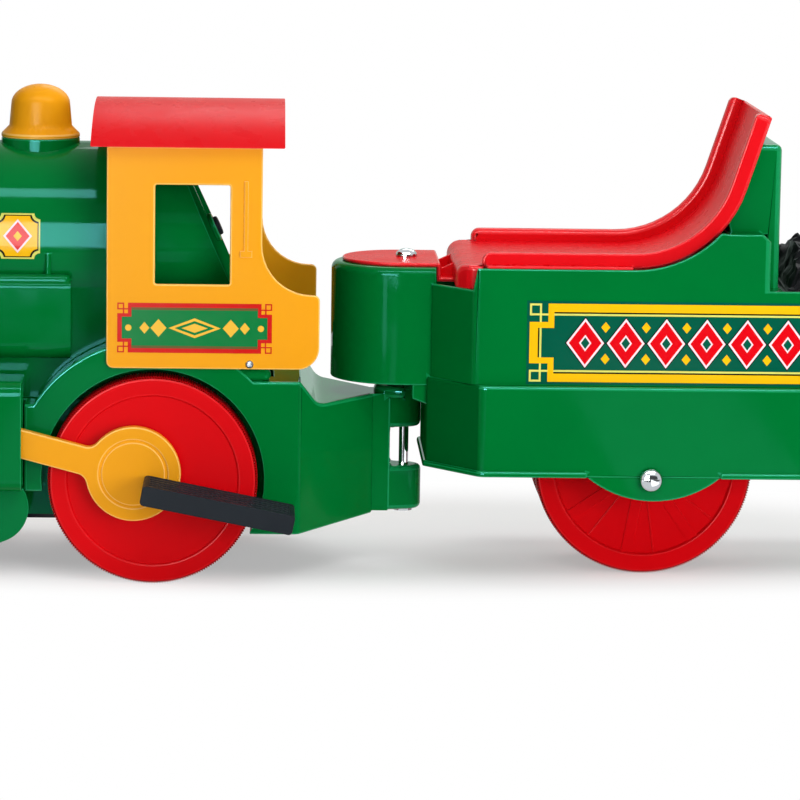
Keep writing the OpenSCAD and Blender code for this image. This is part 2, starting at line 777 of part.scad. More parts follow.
module gearbox(y0, y1, c0, c1) difference() {
    union() {
        side(y0, y1) box_view(0);
        translate([idler_x - 12, y0, idler_z + 20]) cube([24, y1 - y0, deck_z - wall - idler_z - 20]);
    }
    side(c0, c1) box_view(3);
    across(-drive_x, axle_z, -box_half - 1, box_half + 1, axle_d / 2 + play);
    across(idler_x, idler_z, -box_half - 1, box_half + 1, 2.5);
    across(motor_x, motor_z, -1, box_half + 1, 3);
}

module gearbox_left() color(black) gearbox(-box_half, 0, -box_half + 4, 1);
module gearbox_right() color(black) gearbox(0, box_half, -1, box_half - 4);

module drive_axle() color(steel)
    across(-drive_x, axle_z, -drive_face + axle_in, drive_face - axle_in, axle_d / 2);

module axle_bushes() color(black) pair() difference() {
    union() {
        across(-drive_x, axle_z, -tub_half, -tub_half + wall + 6, axle_d / 2 + 5);
        across(-drive_x, axle_z, -tub_half + wall, -tub_half + wall + 3, axle_d / 2 + 9);
    }
    across(-drive_x, axle_z, -tub_half - 1, -tub_half + wall + 7, axle_d / 2 + play);
}

module drive_wheel_left() color(red) {
    r = drive_d / 2;
    h = drive_w;
    difference() {
        turned(-drive_x, -drive_face + h, axle_z) polygon([
            [0, -7], [26, -7], [26, h - 9], [r - 8, h - 9], [r - 8, 0], [r, 0], [r, h - 3],
            [r - 3, h], [r - 18.5, h], [r - 20, h - 2], [0, h - 2]]);
        across(-drive_x, axle_z, -drive_face + axle_in, -drive_face + h + 8, axle_d / 2);
    }
    across(pin_x, pin_z, -rod_y - rod_t + 2.5, -drive_face + 5, crank_d / 2);
    across(pin_x, pin_z, -drive_face - rod_gap + clear, -drive_face + 5, crank_d / 2 + 5);
}

module drive_wheel_right() right() drive_wheel_left();

// Outline of a connecting rod: big end at the origin, arm along +X, filleted neck.
function rod_points() =
    let (f = 12, w = rod_w / 2, y = w + f, x = sqrt((big_end_r + f) * (big_end_r + f) - y * y),
         a = atan2(y, x))
    concat(arc([0, 0], big_end_r, a, 360 - a, 48),
           arc([x, -y], f, 180 - a, 90, 6),
           [[rod_len - 4, -w], [rod_len, -w + 4], [rod_len, w - 4], [rod_len - 4, w]],
           arc([x, y], f, 270, 180 + a, 6));

module rod_left() color(yellow) difference() {
    side(-rod_y - rod_t, -rod_y) translate([pin_x, pin_z]) rotate(180 - rod_tilt)
        polygon(rod_points());
    across(pin_x, pin_z, -rod_y - rod_t + 2, -rod_y + 1, crank_d / 2 + play);
    translate([pin_x, -rod_y - rod_t, pin_z]) rotate([90, 0, 0]) translate([0, 0, -1.2]) difference() {
        cylinder(r = big_end_r * 0.73, h = 3);
        translate([0, 0, -1]) cylinder(r = big_end_r * 0.67, h = 5);
    }
}

module rod_right() right() rod_left();

module pedal_left() color(black) {
    y0 = rod_y + rod_t;
    translate([pin_x + pedal_root, 0, pin_z - pedal_root]) rotate([0, pedal_tilt, 0]) difference() {
        side(-y0 - pedal_w, -y0) polygon(rounded([
            [0, -pedal_h / 2, 4], [pedal_len, -pedal_h / 2, 4],
            [pedal_len, pedal_h / 2, 4], [0, pedal_h / 2, 4]]));
        for (i = [0 : 4]) translate([6, -y0 - 12 - i * (pedal_w - 20) / 4, pedal_h / 2 - 2])
            cube([pedal_len - 12, 5, 4]);
        translate([6, -y0 - pedal_w + 5, -pedal_h / 2 - 1])
            cube([pedal_len - 12, pedal_w - 10, pedal_h - 7]);
    }
}

module pedal_right() right() pedal_left();

// Hinge

module turning_washer() color(black) difference() {
    translate([0, 0, pad_z]) cylinder(r = lug_r + 1, h = column_z - pad_z - pad_gap);
    translate([0, 0, pad_z - 1]) cylinder(r = pin_d / 2, h = column_z - pad_z + 2);
}

module hinge_pin() color(steel) translate([0, 0, lug_low_z - 3])
    cylinder(r = pin_d / 2, h = column_top + 5 - lug_low_z + 3);

module pin_caps() color(steel) {
    difference() {
        translate([0, 0, column_top + 4 + pad_gap]) cap(pin_d / 2);
        translate([0, 0, column_top]) cylinder(r = pin_d / 2, h = 5);
    }
    difference() {
        translate([0, 0, lug_low_z - 2.5]) cylinder(r = pin_d / 2 + 5, h = 2.5);
        translate([0, 0, lug_low_z - 4]) cylinder(r = pin_d / 2, h = 6);
    }
}

// Tender

function skirt_plan(g) = both([
    [skirt_nose - g, -nose_half - g / 2, 6], [skirt_nose + 53 - g / 2, -skirt_half - g, 12],
    [rear_reach - lip_w + g, -skirt_half - g, 20]]);
function upper_plan(g) = both([
    [upper_nose - g, -nose_half - g / 2, 5], [upper_nose + 41 - g / 2, -upper_half - g, 12],
    [rear_reach - 14 + g, -upper_half - g, 14]]);

// Side view of the tender's upper walls.
function upper_view() = concat(
    [[0, ledge_z - 4], [0, rail_z - 22], [63, rail_z - 22], [67, rail_z]],
    arc([sweep_x, sweep_z], sweep_r + rim_h, 270, 318, 10),
    [[sweep_x + 95, rail_z + 37], [hump_x - 8, rail_z + 37], [hump_x, rail_z + 29],
     [hump_x, bunker_z], [rear_reach, bunker_z], [rear_reach, ledge_z - 4]]);

// Front face of the back pillar, which follows the underside of the seat's back.
function back_line(inset) = let (r = sweep_r + rim_h + 3, c = [sweep_x, sweep_z],
    p = polar(c, r + inset, 270 + back_angle), d = [cos(back_angle), sin(back_angle)])
    concat([for (i = [9 : 12]) polar(c, r + inset, 270 + back_angle * i / 12)],
           [p + d * (pillar_z - inset - p[1]) / d[1]]);

module column_plan(g) {
    intersection() {
        translate([-column_x, 0]) circle(r = column_r + g);
        translate([-column_x - 2 * column_r, -column_r]) square(2 * column_r);
    }
    translate([-column_x, -column_r - g]) square([upper_nose + wall + column_x, 2 * (column_r + g)]);
}

// Half of the column's section, from its foot to the rounded top edge.
function column_half() = concat([[column_r, column_z]],
    arc([column_r - column_edge, column_top - column_edge], column_edge, 0, 90, 8));

module column_form() {
    intersection() {
        translate([-column_x, 0, 0]) rotate_extrude()
            polygon(concat([[0, column_z]], column_half(), [[0, column_top]]));
        translate([-column_x - 2 * column_r, -column_r - 1, column_z - 1])
            cube([2 * column_r, 2 * column_r + 2, column_top - column_z + 2]);
    }
    cross(-column_x, upper_nose + wall) let (h = column_half())
        polygon(concat(h, [for (i = [len(h) - 1 : -1 : 0]) [-h[i][0], h[i][1]]]));
}

module guard() side(-skirt_half + guard_in, -skirt_half + guard_in + guard_t) intersection() {
    translate([tender_x + 3, guard_z + guard_r]) circle(r = guard_r);
    translate([tender_x - 80, guard_z - 8]) square([166, skirt_z + 18 - guard_z]);
}

module tender_body() color(green) difference() {
    union() {
        // skirt and its lip
        difference() {
            union() {
                plan(skirt_z, ledge_z) polygon(rounded(skirt_plan(0)));
                difference() {
                    plan(skirt_z, skirt_z + lip_h) polygon(rounded(skirt_plan(lip_w)));
                    pair() side(-skirt_half - lip_w - 1, -skirt_half)
                        translate([tender_x + 3 - guard_half, skirt_z - 1])
                            square([2 * guard_half, lip_h + 2]);
                }
            }
            plan(skirt_z - 5, ledge_z - wall) polygon(rounded(skirt_plan(-wall)));
            plan(ledge_z - wall - 1, ledge_z + 1) polygon(rounded(upper_plan(-wall)));
        }
        // upper walls, seat well, bunker
        difference() {
            intersection() {
                plan(ledge_z - wall, rail_z + 60) polygon(rounded(upper_plan(0)));
                side(-upper_half - 1, upper_half + 1) polygon(upper_view());
            }
            intersection() {
                plan(ledge_z - wall - 5, rail_z + 70) polygon(rounded(upper_plan(-wall)));
                side(-upper_half, upper_half) polygon([
                    [0, ledge_z - 20], [0, rail_z + 60], [sweep_x + 94, rail_z + 60],
                    [sweep_x + 94, rail_z + 33], [hump_x - wall, rail_z + 33],
                    [hump_x - wall, bunker_z - wall], [bin_x - wall, bunker_z - wall],
                    [bin_x - wall, ledge_z - 20]]);
            }
            intersection() {
                plan(ledge_z - wall - 5, rail_z + 70) polygon(rounded(upper_plan(-wall)));
                translate([bin_x, -upper_half, ledge_z - 20])
                    cube([rear_reach, 2 * upper_half, 50]);
            }
            intersection() {
                plan(ledge_z, rail_z) polygon(rounded(upper_plan(-wall - 5)));
                translate([bin_x + 6, -upper_half, ledge_z + 34])
                    cube([rear_reach, 2 * upper_half, 90]);
            }
            intersection() {
                plan(ledge_z, rail_z) polygon(rounded(upper_plan(-wall)));
                translate([bin_x + 2, -upper_half, bunker_z - 8])
                    cube([rear_reach, 2 * upper_half, 90]);
            }
        }
        // column with the pin tube
        difference() {
            column_form();
            plan(column_z + wall + 1, column_top - column_edge - 2) column_plan(-wall - 1);
        }
        translate([0, 0, column_z]) cylinder(r = pin_d / 2 + 8, h = column_top - column_z);
        pair() guard();
        // gussets between the column and the nose of the skirt
        pair() side(-column_r + 2, -column_r + 2 + wall) polygon([
            [5, column_z + 2], [5, column_z - 14], [skirt_nose + 2, column_z - 20],
            [skirt_nose + 2, column_z + 2]]);
        // back pillar
        difference() {
            side(-pillar_half, pillar_half) polygon(concat(back_line(0),
                [[bin_x, pillar_z], [bin_x, bunker_z - 1], [hump_x - 1, bunker_z - 1],
                 [hump_x - 1, rail_z + 34], [sweep_x + 98, rail_z + 34]]));
            side(-pillar_half + wall, pillar_half - wall) polygon(concat(back_line(wall),
                [[bin_x - wall, pillar_z - wall], [bin_x - wall, rail_z + 32],
                 [sweep_x + 105, rail_z + 32]]));
        }
    }
    translate([0, 0, column_z - 1]) cylinder(r = pin_d / 2 + play, h = column_top - column_z + 2);
    across(tender_x, tender_z, -skirt_half - lip_w - 1, skirt_half + lip_w + 1, axle_d / 2);
}

// A line that runs a distance d under the top of the seat's rim, from the front to the top.
function seat_line(x0, d) = concat([[x0, rim_z - d]],
    arc([sweep_x, sweep_z], sweep_r + d, 270, 270 + back_angle, 12),
    [polar([sweep_x, sweep_z], sweep_r + d, 270 + back_angle)
     + back_len * [cos(back_angle), sin(back_angle)]]);
function seat_band(x0, d0, d1) = let (low = seat_line(x0, d1))
    concat(seat_line(x0, d0), [for (i = [len(low) - 1 : -1 : 0]) low[i]]);

// The seat's rounded front over the tender's nose. The hollow is the same form, inset.
module bulge(inset) intersection() {
    low = rail_z - 22 - (inset > 0 ? 5 : 0);
    side(-upper_half, upper_half) polygon(rounded([
        [bulge_x + inset, low, 0], [bulge_x + inset, rail_z + 2 - inset, 12 - inset],
        [bulge_end - inset, rail_z + 2 - inset, 0], [bulge_end - inset, low, 0]]));
    plan(rail_z - 40, rail_z + 40) polygon(rounded(both([
        [bulge_x - 2, -nose_half - 25 + inset, 0],
        [upper_nose + 36, -upper_half + 10.5 + inset, 14 - inset],
        [bulge_end, -upper_half + 10.5 + inset, 0]])));
}

module seat() color(red) difference() {
    union() {
        side(-seat_half + 12, seat_half - 12) polygon(seat_band(bulge_end - 8, rim_h - 2, rim_h + 3));
        pair() {
            side(-seat_half, -seat_half + rim_w) polygon(concat(
                [[72, rail_z]], arc([72 + rim_end, rim_z - rim_end], rim_end, 180, 90, 6),
                seat_band(72 + rim_end + 1, 0, rim_h)));
            intersection() {
                side(-upper_half + 1, -seat_half + 2) polygon(seat_band(76, rim_h - 3, rim_h));
                translate([70, -upper_half, rail_z]) cube([sweep_x - 72, upper_half, 60]);
            }
        }
        // rounded front, channel and the tongue on the column
        difference() {
            bulge(0);
            bulge(wall);
        }
        side(-column_r + 11, column_r - 11) polygon([
            [29, rail_z - 22], [48, rail_z - 22], [48, rail_z - 18],
            [33, rail_z - 18], [33, column_top + 4], [29, column_top + 4]]);
        for (y = [-40, 38]) side(y, y + 3)
            polygon([[31, rail_z - 20], [48, rail_z - 20], [48, rail_z - 4], [31, column_top - 5]]);
        plan(column_top, column_top + 4) {
            column_plan(-plate_in);
            translate([0, -column_r + plate_in]) square([33, 2 * (column_r - plate_in)]);
        }
    }
    translate([0, 0, column_top - 1]) cylinder(r = pin_d / 2 + clear, h = 8);
}

// Heap of coal: a field of lumps over a flat base.
function coal_h(i, j) = let (u = 2 * i / (coal_nx - 1) - 1, v = 2 * j / (coal_ny - 1) - 1,
    edge = (1 - pow(u, 6)) * (1 - pow(v, 6)))
    9 + edge * (36 + 7 * sin(i * 137 + j * 71) * cos(i * 43 - j * 97) + 4 * cos(i * 211 + j * 157));

function coal_id(i, j) = i * coal_ny + j;

module coal_cover() color(black) {
    x0 = bin_x + 3;
    x1 = rear_reach - 14 - wall - 1;
    hy = upper_half - wall - 1;
    z0 = bunker_z - 8 + clear;
    n = coal_nx * coal_ny;
    top = [for (i = [0 : coal_nx - 1], j = [0 : coal_ny - 1])
        [x0 + 4 + (x1 - x0 - 18) * i / (coal_nx - 1),
         -hy + 10 + (2 * hy - 20) * j / (coal_ny - 1), z0 + coal_h(i, j)]];
    low = [for (p = top) [p[0], p[1], z0 + 3]];
    up = [for (i = [0 : coal_nx - 2], j = [0 : coal_ny - 2]) each
        [[coal_id(i, j), coal_id(i, j + 1), coal_id(i + 1, j + 1)],
         [coal_id(i, j), coal_id(i + 1, j + 1), coal_id(i + 1, j)]]];
    down = [for (f = up) [n + f[2], n + f[1], n + f[0]]];
    ring = concat([for (j = [0 : coal_ny - 1]) coal_id(0, j)],
        [for (i = [1 : coal_nx - 1]) coal_id(i, coal_ny - 1)],
        [for (j = [coal_ny - 2 : -1 : 0]) coal_id(coal_nx - 1, j)],
        [for (i = [coal_nx - 2 : -1 : 1]) coal_id(i, 0)]);
    rim = [for (k = [0 : len(ring) - 1]) let (a = ring[k], b = ring[(k + 1) % len(ring)]) each
        [[a, n + a, n + b], [a, n + b, b]]];
    difference() {
        union() {
            plan(z0, z0 + 5) polygon(rounded([
                [x0, -hy, 1], [x1, -hy, 12], [x1, hy, 12], [x0, hy, 1]]));
            polyhedron(concat(top, low), concat(up, down, rim));
        }
        translate([x0 + 18, -hy + 26, z0 - 1]) cube([x1 - x0 - 46, 2 * hy - 52, 24]);
    }
}

module tender_axle() color(steel) {
    across(tender_x, tender_z, -skirt_half - 4, skirt_half + 4, axle_d / 2);
    across(tender_x, tender_z, -tender_face + tender_w + 1, tender_face - tender_w - 1, axle_d / 2 + 4);
}

module tender_spacers() color(black) pair() difference() {
    across(tender_x, tender_z, -skirt_half + guard_in + guard_t, -tender_face - 3 - clear, axle_d / 2 + 4);
    across(tender_x, tender_z, -skirt_half + 4, -tender_face, axle_d / 2);
}

module tender_wheel_left() color(red) {
    r = tender_d / 2;
    h = tender_w;
    b = axle_d / 2 + play;
    turned(tender_x, -tender_face + h, tender_z) polygon([
        [b, -0.6], [22, -0.6], [22, h - 8], [r - 22, h - 11], [r - 8, h - 11], [r - 8, 0], [r, 0],
        [r, h - 3], [r - 3, h], [r - 19, h], [r - 21, h - dish], [22, h - 1], [22, h + 3], [b, h + 3]]);
    for (k = [0 : spokes - 1]) {
        spoke(r, h, spoke_turn + k * 360 / spokes, spoke_w);
        spoke(r, h, spoke_turn + (k + 0.4) * 360 / spokes, rib_h);
    }
}

// A low raised strip on the dish of a tender wheel, w wide, in the direction a.
module spoke(r, h, a, w) translate([tender_x, -tender_face + h, tender_z]) rotate([90, 0, 0])
    rotate(a) translate([0, w / 2, 0]) rotate([90, 0, 0]) linear_extrude(w) polygon([
        [20, h - 4], [r - 20.5, h - dish - 3], [r - 20.5, h - dish + spoke_h], [20, h - 1 + spoke_h]]);

module tender_wheel_right() right() tender_wheel_left();

module tender_caps() color(steel) pair()
    translate([tender_x, -skirt_half - 4, tender_z]) rotate([90, 0, 0]) cap(axle_d / 2 + 0.5);

// Nodes

// Moves the middle of the train to X = 0.
module placed() translate([shift_x, 0, 0]) children();

placed() loco_frame();
placed() floor_plate();
placed() floor_screws();
placed() boiler_shell();
placed() smokebox_front();
placed() smokebox_door();
placed() headlight();
placed() headlight_lens();
placed() smokestack();
placed() steam_dome();
placed() pilot();
placed() cylinder_left();
placed() cylinder_right();
placed() cab_left();
placed() cab_right();
placed() cab_front();
placed() cab_roof();
placed() cab_screws();
placed() button_bezel();
placed() start_button();
placed() start_switch();
placed() battery();
placed() motor();
placed() gearbox_left();
placed() gearbox_right();
placed() motor_pinion();
placed() idler_gear();
placed() idler_pin();
placed() axle_gear();
placed() drive_axle();
placed() axle_bushes();
placed() drive_wheel_left();
placed() drive_wheel_right();
placed() rod_left();
placed() rod_right();
placed() pedal_left();
placed() pedal_right();
placed() front_axle();
placed() front_wheel_left();
placed() front_wheel_right();
placed() front_caps();
placed() turning_washer();
placed() hinge_pin();
placed() pin_caps();
placed() tender_body();
placed() seat();
placed() coal_cover();
placed() tender_axle();
placed() tender_spacers();
placed() tender_wheel_left();
placed() tender_wheel_right();
placed() tender_caps();
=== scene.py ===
"""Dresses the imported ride-on train: rounded shells, printed films, knurled wheels and a studio."""

import json
import logging
import math
from dataclasses import dataclass
from enum import Enum
from itertools import product
from typing import Any, ClassVar, Iterable, Sequence

import bmesh
import bpy
from mathutils import Matrix, Vector

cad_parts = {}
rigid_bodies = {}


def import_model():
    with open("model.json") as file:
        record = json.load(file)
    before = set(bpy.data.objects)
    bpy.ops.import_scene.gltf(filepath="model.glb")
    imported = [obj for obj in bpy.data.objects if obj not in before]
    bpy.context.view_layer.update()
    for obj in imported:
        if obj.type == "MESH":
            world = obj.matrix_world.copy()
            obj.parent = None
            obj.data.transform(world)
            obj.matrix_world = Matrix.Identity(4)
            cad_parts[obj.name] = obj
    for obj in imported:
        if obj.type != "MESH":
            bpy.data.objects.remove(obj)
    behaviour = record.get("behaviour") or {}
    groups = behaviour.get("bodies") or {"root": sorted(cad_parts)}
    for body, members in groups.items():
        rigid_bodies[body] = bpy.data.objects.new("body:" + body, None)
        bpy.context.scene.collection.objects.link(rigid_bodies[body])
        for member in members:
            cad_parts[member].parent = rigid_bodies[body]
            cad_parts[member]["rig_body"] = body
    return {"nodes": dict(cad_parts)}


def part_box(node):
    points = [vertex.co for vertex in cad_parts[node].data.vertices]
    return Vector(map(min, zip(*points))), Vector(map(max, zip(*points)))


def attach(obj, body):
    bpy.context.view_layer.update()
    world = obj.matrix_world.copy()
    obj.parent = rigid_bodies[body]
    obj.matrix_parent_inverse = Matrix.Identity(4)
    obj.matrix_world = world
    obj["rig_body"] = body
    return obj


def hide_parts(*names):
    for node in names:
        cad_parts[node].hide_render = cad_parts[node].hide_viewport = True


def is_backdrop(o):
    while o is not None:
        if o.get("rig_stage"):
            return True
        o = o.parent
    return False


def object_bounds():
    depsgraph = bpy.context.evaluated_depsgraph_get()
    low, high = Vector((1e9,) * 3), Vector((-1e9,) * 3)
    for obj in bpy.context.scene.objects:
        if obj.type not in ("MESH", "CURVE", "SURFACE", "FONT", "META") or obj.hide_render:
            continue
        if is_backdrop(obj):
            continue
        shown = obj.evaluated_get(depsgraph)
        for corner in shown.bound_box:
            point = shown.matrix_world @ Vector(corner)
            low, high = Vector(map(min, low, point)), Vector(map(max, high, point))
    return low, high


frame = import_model()
CAD_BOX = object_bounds()

LOG = logging.getLogger("train")
MM = 0.001
FAR = 1e4
QUARTER = math.radians(90)
# Corners of a mesh that lie this near to each other are one.
WELD = 0.06 * MM
# Faces that turn by less than this are one flat face.
FLAT = math.radians(0.4)
# Triangles that turn by less than this are joined in pairs.
PAIRED = math.radians(0.5)
# Edges that turn by more than this are rounded.
SHARP = math.radians(34)
# Faces that turn by less than this are shaded as one.
SMOOTH = math.radians(40)
# Edges up to this length, in millimetres, do not hold back the rounding of their run.
SPECK = 0.8
# Share of the room beside an edge that its rounding takes, and where two roundings share it.
TAKEN = 0.9
SHARED = 0.45
# An edge lies beside another one when this share of it runs along with it.
BESIDE = 0.7
# Edges that turn by less than this within a face round their corner together.
BEND = math.radians(60)
# An edge carries on from another one when the cosine between their arms is less than this.
ONWARD = -0.82
# A face looks along the train when its normal has more than this share of that direction.
LOOKS = 0.5
# The range in which most of a noise lies, and the least roughness of any surface.
NOISE = (0.3, 0.7)
LEAST_ROUGH = 0.02

Point = tuple[float, float]
Place = tuple[float, float, float]
Node = bpy.types.Node
Tree = bpy.types.NodeTree
Socket = bpy.types.NodeSocket
Object = bpy.types.Object
Edge = bmesh.types.BMEdge


class Side(Enum):
    """The two sides of the train, with the direction in which each one faces along Y."""

    LEFT = -1
    RIGHT = 1

    @property
    def tag(self) -> str:
        """The side's word in the names of nodes and pieces."""
        return self.name.lower()


class Slot(str, Enum):
    """Material slots of the part's record."""

    GREEN = "green_shell"
    YELLOW = "yellow_shell"
    RED = "red_shell"
    BLACK = "black_plastic"
    STEEL = "steel"
    CHROME = "chrome"
    NYLON = "nylon"
    BRASS = "brass"
    LENS = "lens"


def linear(code: str) -> tuple[float, float, float, float]:
    """Turn an sRGB hex colour into linear RGBA.

    Args:
        code: six hex digits, with or without the leading hash.

    Returns:
        The linear colour with full alpha.
    """
    digits = code.lstrip("#")
    parts = [int(digits[i:i + 2], 16) / 255 for i in (0, 2, 4)]
    red, green, blue = (c / 12.92 if c <= 0.04045 else ((c + 0.055) / 1.055) ** 2.4 for c in parts)
    return (red, green, blue, 1.0)


def per_metre(size: float) -> float:
    """The texture scale that gives a pattern of this size in millimetres."""
    return 1 / (size * MM)


def add(tree: Tree, kind: str, inputs: dict[Any, Any] | None = None, **settings: Any) -> Node:
    """Add one shader node, with its settings, its values and its links.

    Args:
        tree: the node tree that gets the node.
        kind: Blender's name of the node's type, without ShaderNode.
        inputs: for each socket, by name or number, a value or the output that feeds it.
        settings: properties of the node itself.

    Returns:
        The new node.
    """
    made = tree.nodes.new(f"ShaderNode{kind}")
    for key, value in settings.items():
        setattr(made, key, value)
    for key, value in (inputs or {}).items():
        if isinstance(value, Socket):
            tree.links.new(value, made.inputs[key])
        else:
            made.inputs[key].default_value = value
    return made


def blank(store: bpy.types.bpy_prop_collection, name: str) -> bpy.types.ID:
    """Make a material or a world with an empty node tree.

    Args:
        store: Blender's materials or worlds.
        name: its name.

    Returns:
        The new material or world.
    """
    made = store.new(name)
    made.use_nodes = True
    made.node_tree.nodes.clear()
    return made


@dataclass(frozen=True)
class Finish:
    """A surface finish: its material's name, its record slot, its two tints and its roughness.

    The shine is how much it mirrors, tinted by the glint. The tints mix in patches, the roughness
    wanders by the spread and by a share of itself, and the relief has a strength and a depth.
    Sizes are in millimetres. The inputs are what else its kind of shader needs.
    """

    name: str
    slot: Slot
    light: str
    dark: str
    rough: float
    glint: str = "#FFFFFF"
    shine: float = 0.5
    patch: float = 30.0
    spread: float = 0.0
    share: float = 0.0
    strength: float = 0.0
    depth: float = 0.0
    inputs: ClassVar[dict[str, Any]] = {}

    def material(self) -> bpy.types.Material:
        """Make the material once, and give it back on later calls.

        Returns:
            The Blender material of this finish.
        """
        found = bpy.data.materials.get(self.name)
        if found:
            return found
        made = blank(bpy.data.materials, self.name)
        made.diffuse_color = linear(self.light)
        tree = made.node_tree
        place = add(tree, "TexCoord").outputs["Object"]
        tint = add(tree, "TexNoise",
                   {"Vector": place, "Scale": per_metre(self.patch), "Detail": 3.0})
        colour = add(tree, "Mix", {0: tint.outputs[0], 6: linear(self.light),
                                   7: linear(self.dark)}, data_type="RGBA")
        smudge = add(tree, "TexNoise",
                     {"Vector": place, "Scale": per_metre(self.patch / 4), "Detail": 4.0})
        wander = self.spread + self.share * self.rough
        rough = add(tree, "MapRange", {
            "Value": smudge.outputs[0], "From Min": NOISE[0], "From Max": NOISE[1],
            "To Min": max(self.rough - wander, LEAST_ROUGH), "To Max": self.rough + wander})
        shader = add(tree, "BsdfPrincipled", {
            "Base Color": colour.outputs[2], "Roughness": rough.outputs[0],
            "Specular IOR Level": self.shine, "Specular Tint": linear(self.glint), **self.inputs})
        height = self.relief(tree, place)
        if height is not None:
            bump = add(tree, "Bump", {"Height": height, "Strength": self.strength,
                                      "Distance": self.depth * MM})
            tree.links.new(bump.outputs[0], shader.inputs["Normal"])
        add(tree, "OutputMaterial", {"Surface": shader.outputs[0]})
        return made

    def relief(self, tree: Tree, place: Socket) -> Socket | None:
        """What stands out of the surface, of which each kind of finish has its own.

        Args:
            tree: the material's node tree.
            place: the object coordinates.

        Returns:
            The height of the relief, or nothing where the surface is smooth.
        """
        return None


@dataclass(frozen=True)
class Polyethylene(Finish):
    """Moulded polyethylene: a polished skin, clouded by pigment, with hand marks in the gloss.

    The deep pigment tints what the skin mirrors, so its glints aren't plain white.
    """

    shine: float = 0.08
    patch: float = 110.0
    spread: float = 0.035
    strength: float = 0.5
    depth: float = 0.02
    peel: float = 5.0
    inputs = {"IOR": 1.51}

    def relief(self, tree: Tree, place: Socket) -> Socket:
        """Faint orange peel a few millimetres wide."""
        return add(tree, "TexNoise", {"Vector": place, "Scale": per_metre(self.peel),
                                      "Detail": 1.0}).outputs[0]


@dataclass(frozen=True)
class Polypropylene(Finish):
    """Black moulded polypropylene: a satin skin with the matt grain of an eroded mould."""

    shine: float = 0.03
    patch: float = 60.0
    spread: float = 0.08
    strength: float = 0.35
    depth: float = 0.05
    grain: float = 1.2
    inputs = {"IOR": 1.49}

    def relief(self, tree: Tree, place: Socket) -> Socket:
        """An even, pebbled grain, drawn coarse, that breaks up the highlights."""
        return add(tree, "TexVoronoi", {"Vector": place, "Scale": per_metre(self.grain)},
                   feature="SMOOTH_F1").outputs["Distance"]


@dataclass(frozen=True)
class Metal(Finish):
    """Turned or plated metal with a cloudy polish."""

    patch: float = 20.0
    share: float = 1 / 3
    strength: float = 0.3
    depth: float = 0.01
    lines: float = 0.8
    squeeze: float = 0.08
    inputs = {"Metallic": 1.0}

    def relief(self, tree: Tree, place: Socket) -> Socket:
        """Fine lines across the train, which stretch the highlights a little."""
        squeezed = add(tree, "Mapping", {"Vector": place, "Scale": (self.squeeze, 1, self.squeeze)})
        return add(tree, "TexNoise", {"Vector": squeezed.outputs[0], "Detail": 2.0,
                                      "Scale": per_metre(self.lines)}).outputs[0]


@dataclass(frozen=True)
class Nylon(Finish):
    """Natural nylon: milky, waxy and smooth, with light that creeps a millimetre under its skin."""

    spread: float = 0.06
    inputs = {"IOR": 1.53, "Subsurface Weight": 0.25, "Subsurface Radius": (MM, MM, MM)}


@dataclass(frozen=True)
class Polycarbonate(Finish):
    """Clear, slightly smoky polycarbonate with moulded rings that scatter what is behind it."""

    patch: float = 40.0
    spread: float = 0.02
    strength: float = 0.6
    depth: float = 0.4
    ring: float = 12.566
    inputs = {"IOR": 1.58, "Transmission Weight": 0.85}

    def relief(self, tree: Tree, place: Socket) -> Socket:
        """Concentric ripples about the lamp's axis."""
        low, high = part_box("headlight_lens")
        centred = add(tree, "Mapping", {"Vector": place, "Location": -(low + high) / 2})
        return add(tree, "TexWave",
                   {"Vector": centred.outputs[0], "Scale": per_metre(self.ring) * math.pi / 10},
                   wave_type="RINGS", rings_direction="X").outputs["Fac"]


@dataclass(frozen=True)
class Vinyl(Finish):
    """Printed vinyl film: flat ink under a clear, glossy skin."""

    shine: float = 0.06
    patch: float = 35.0
    spread: float = 0.04
    strength: float = 0.1
    depth: float = 0.01
    screen: float = 0.9
    inputs = {"IOR": 1.5}

    def relief(self, tree: Tree, place: Socket) -> Socket:
        """A faint printing screen, drawn coarse."""
        return add(tree, "TexVoronoi", {"Vector": place, "Scale": per_metre(self.screen)},
                   feature="F1").outputs["Distance"]


GREEN = Polyethylene("green_polyethylene", Slot.GREEN, "#00752F", "#006A2B", 0.08, "#7CEDFF")
YELLOW = Polyethylene("yellow_polyethylene", Slot.YELLOW, "#F3A516", "#EF9E12", 0.3, "#FFF3CB",
                      shine=0.04)
# A matt, grained copy of the green for faces where shade falls: its grain and roughness are real,
# its darker green is painted shade.
GRAINED_WITH_PAINTED_SHADE = Polyethylene("green_grained_polyethylene", Slot.GREEN, "#00672A", "#005E26", 0.55,
                       "#7CEDFF", peel=2.0, depth=0.08, shine=0.0)
RED = Polyethylene("red_polyethylene", Slot.RED, "#E2121C", "#D80E17", 0.28, "#FFBCBC", shine=0.02)
WHEEL_RED = Polyethylene("red_wheel_polyethylene", Slot.RED, "#DE0712", "#D4050E", 0.34, "#FF8888",
                         shine=0.04)
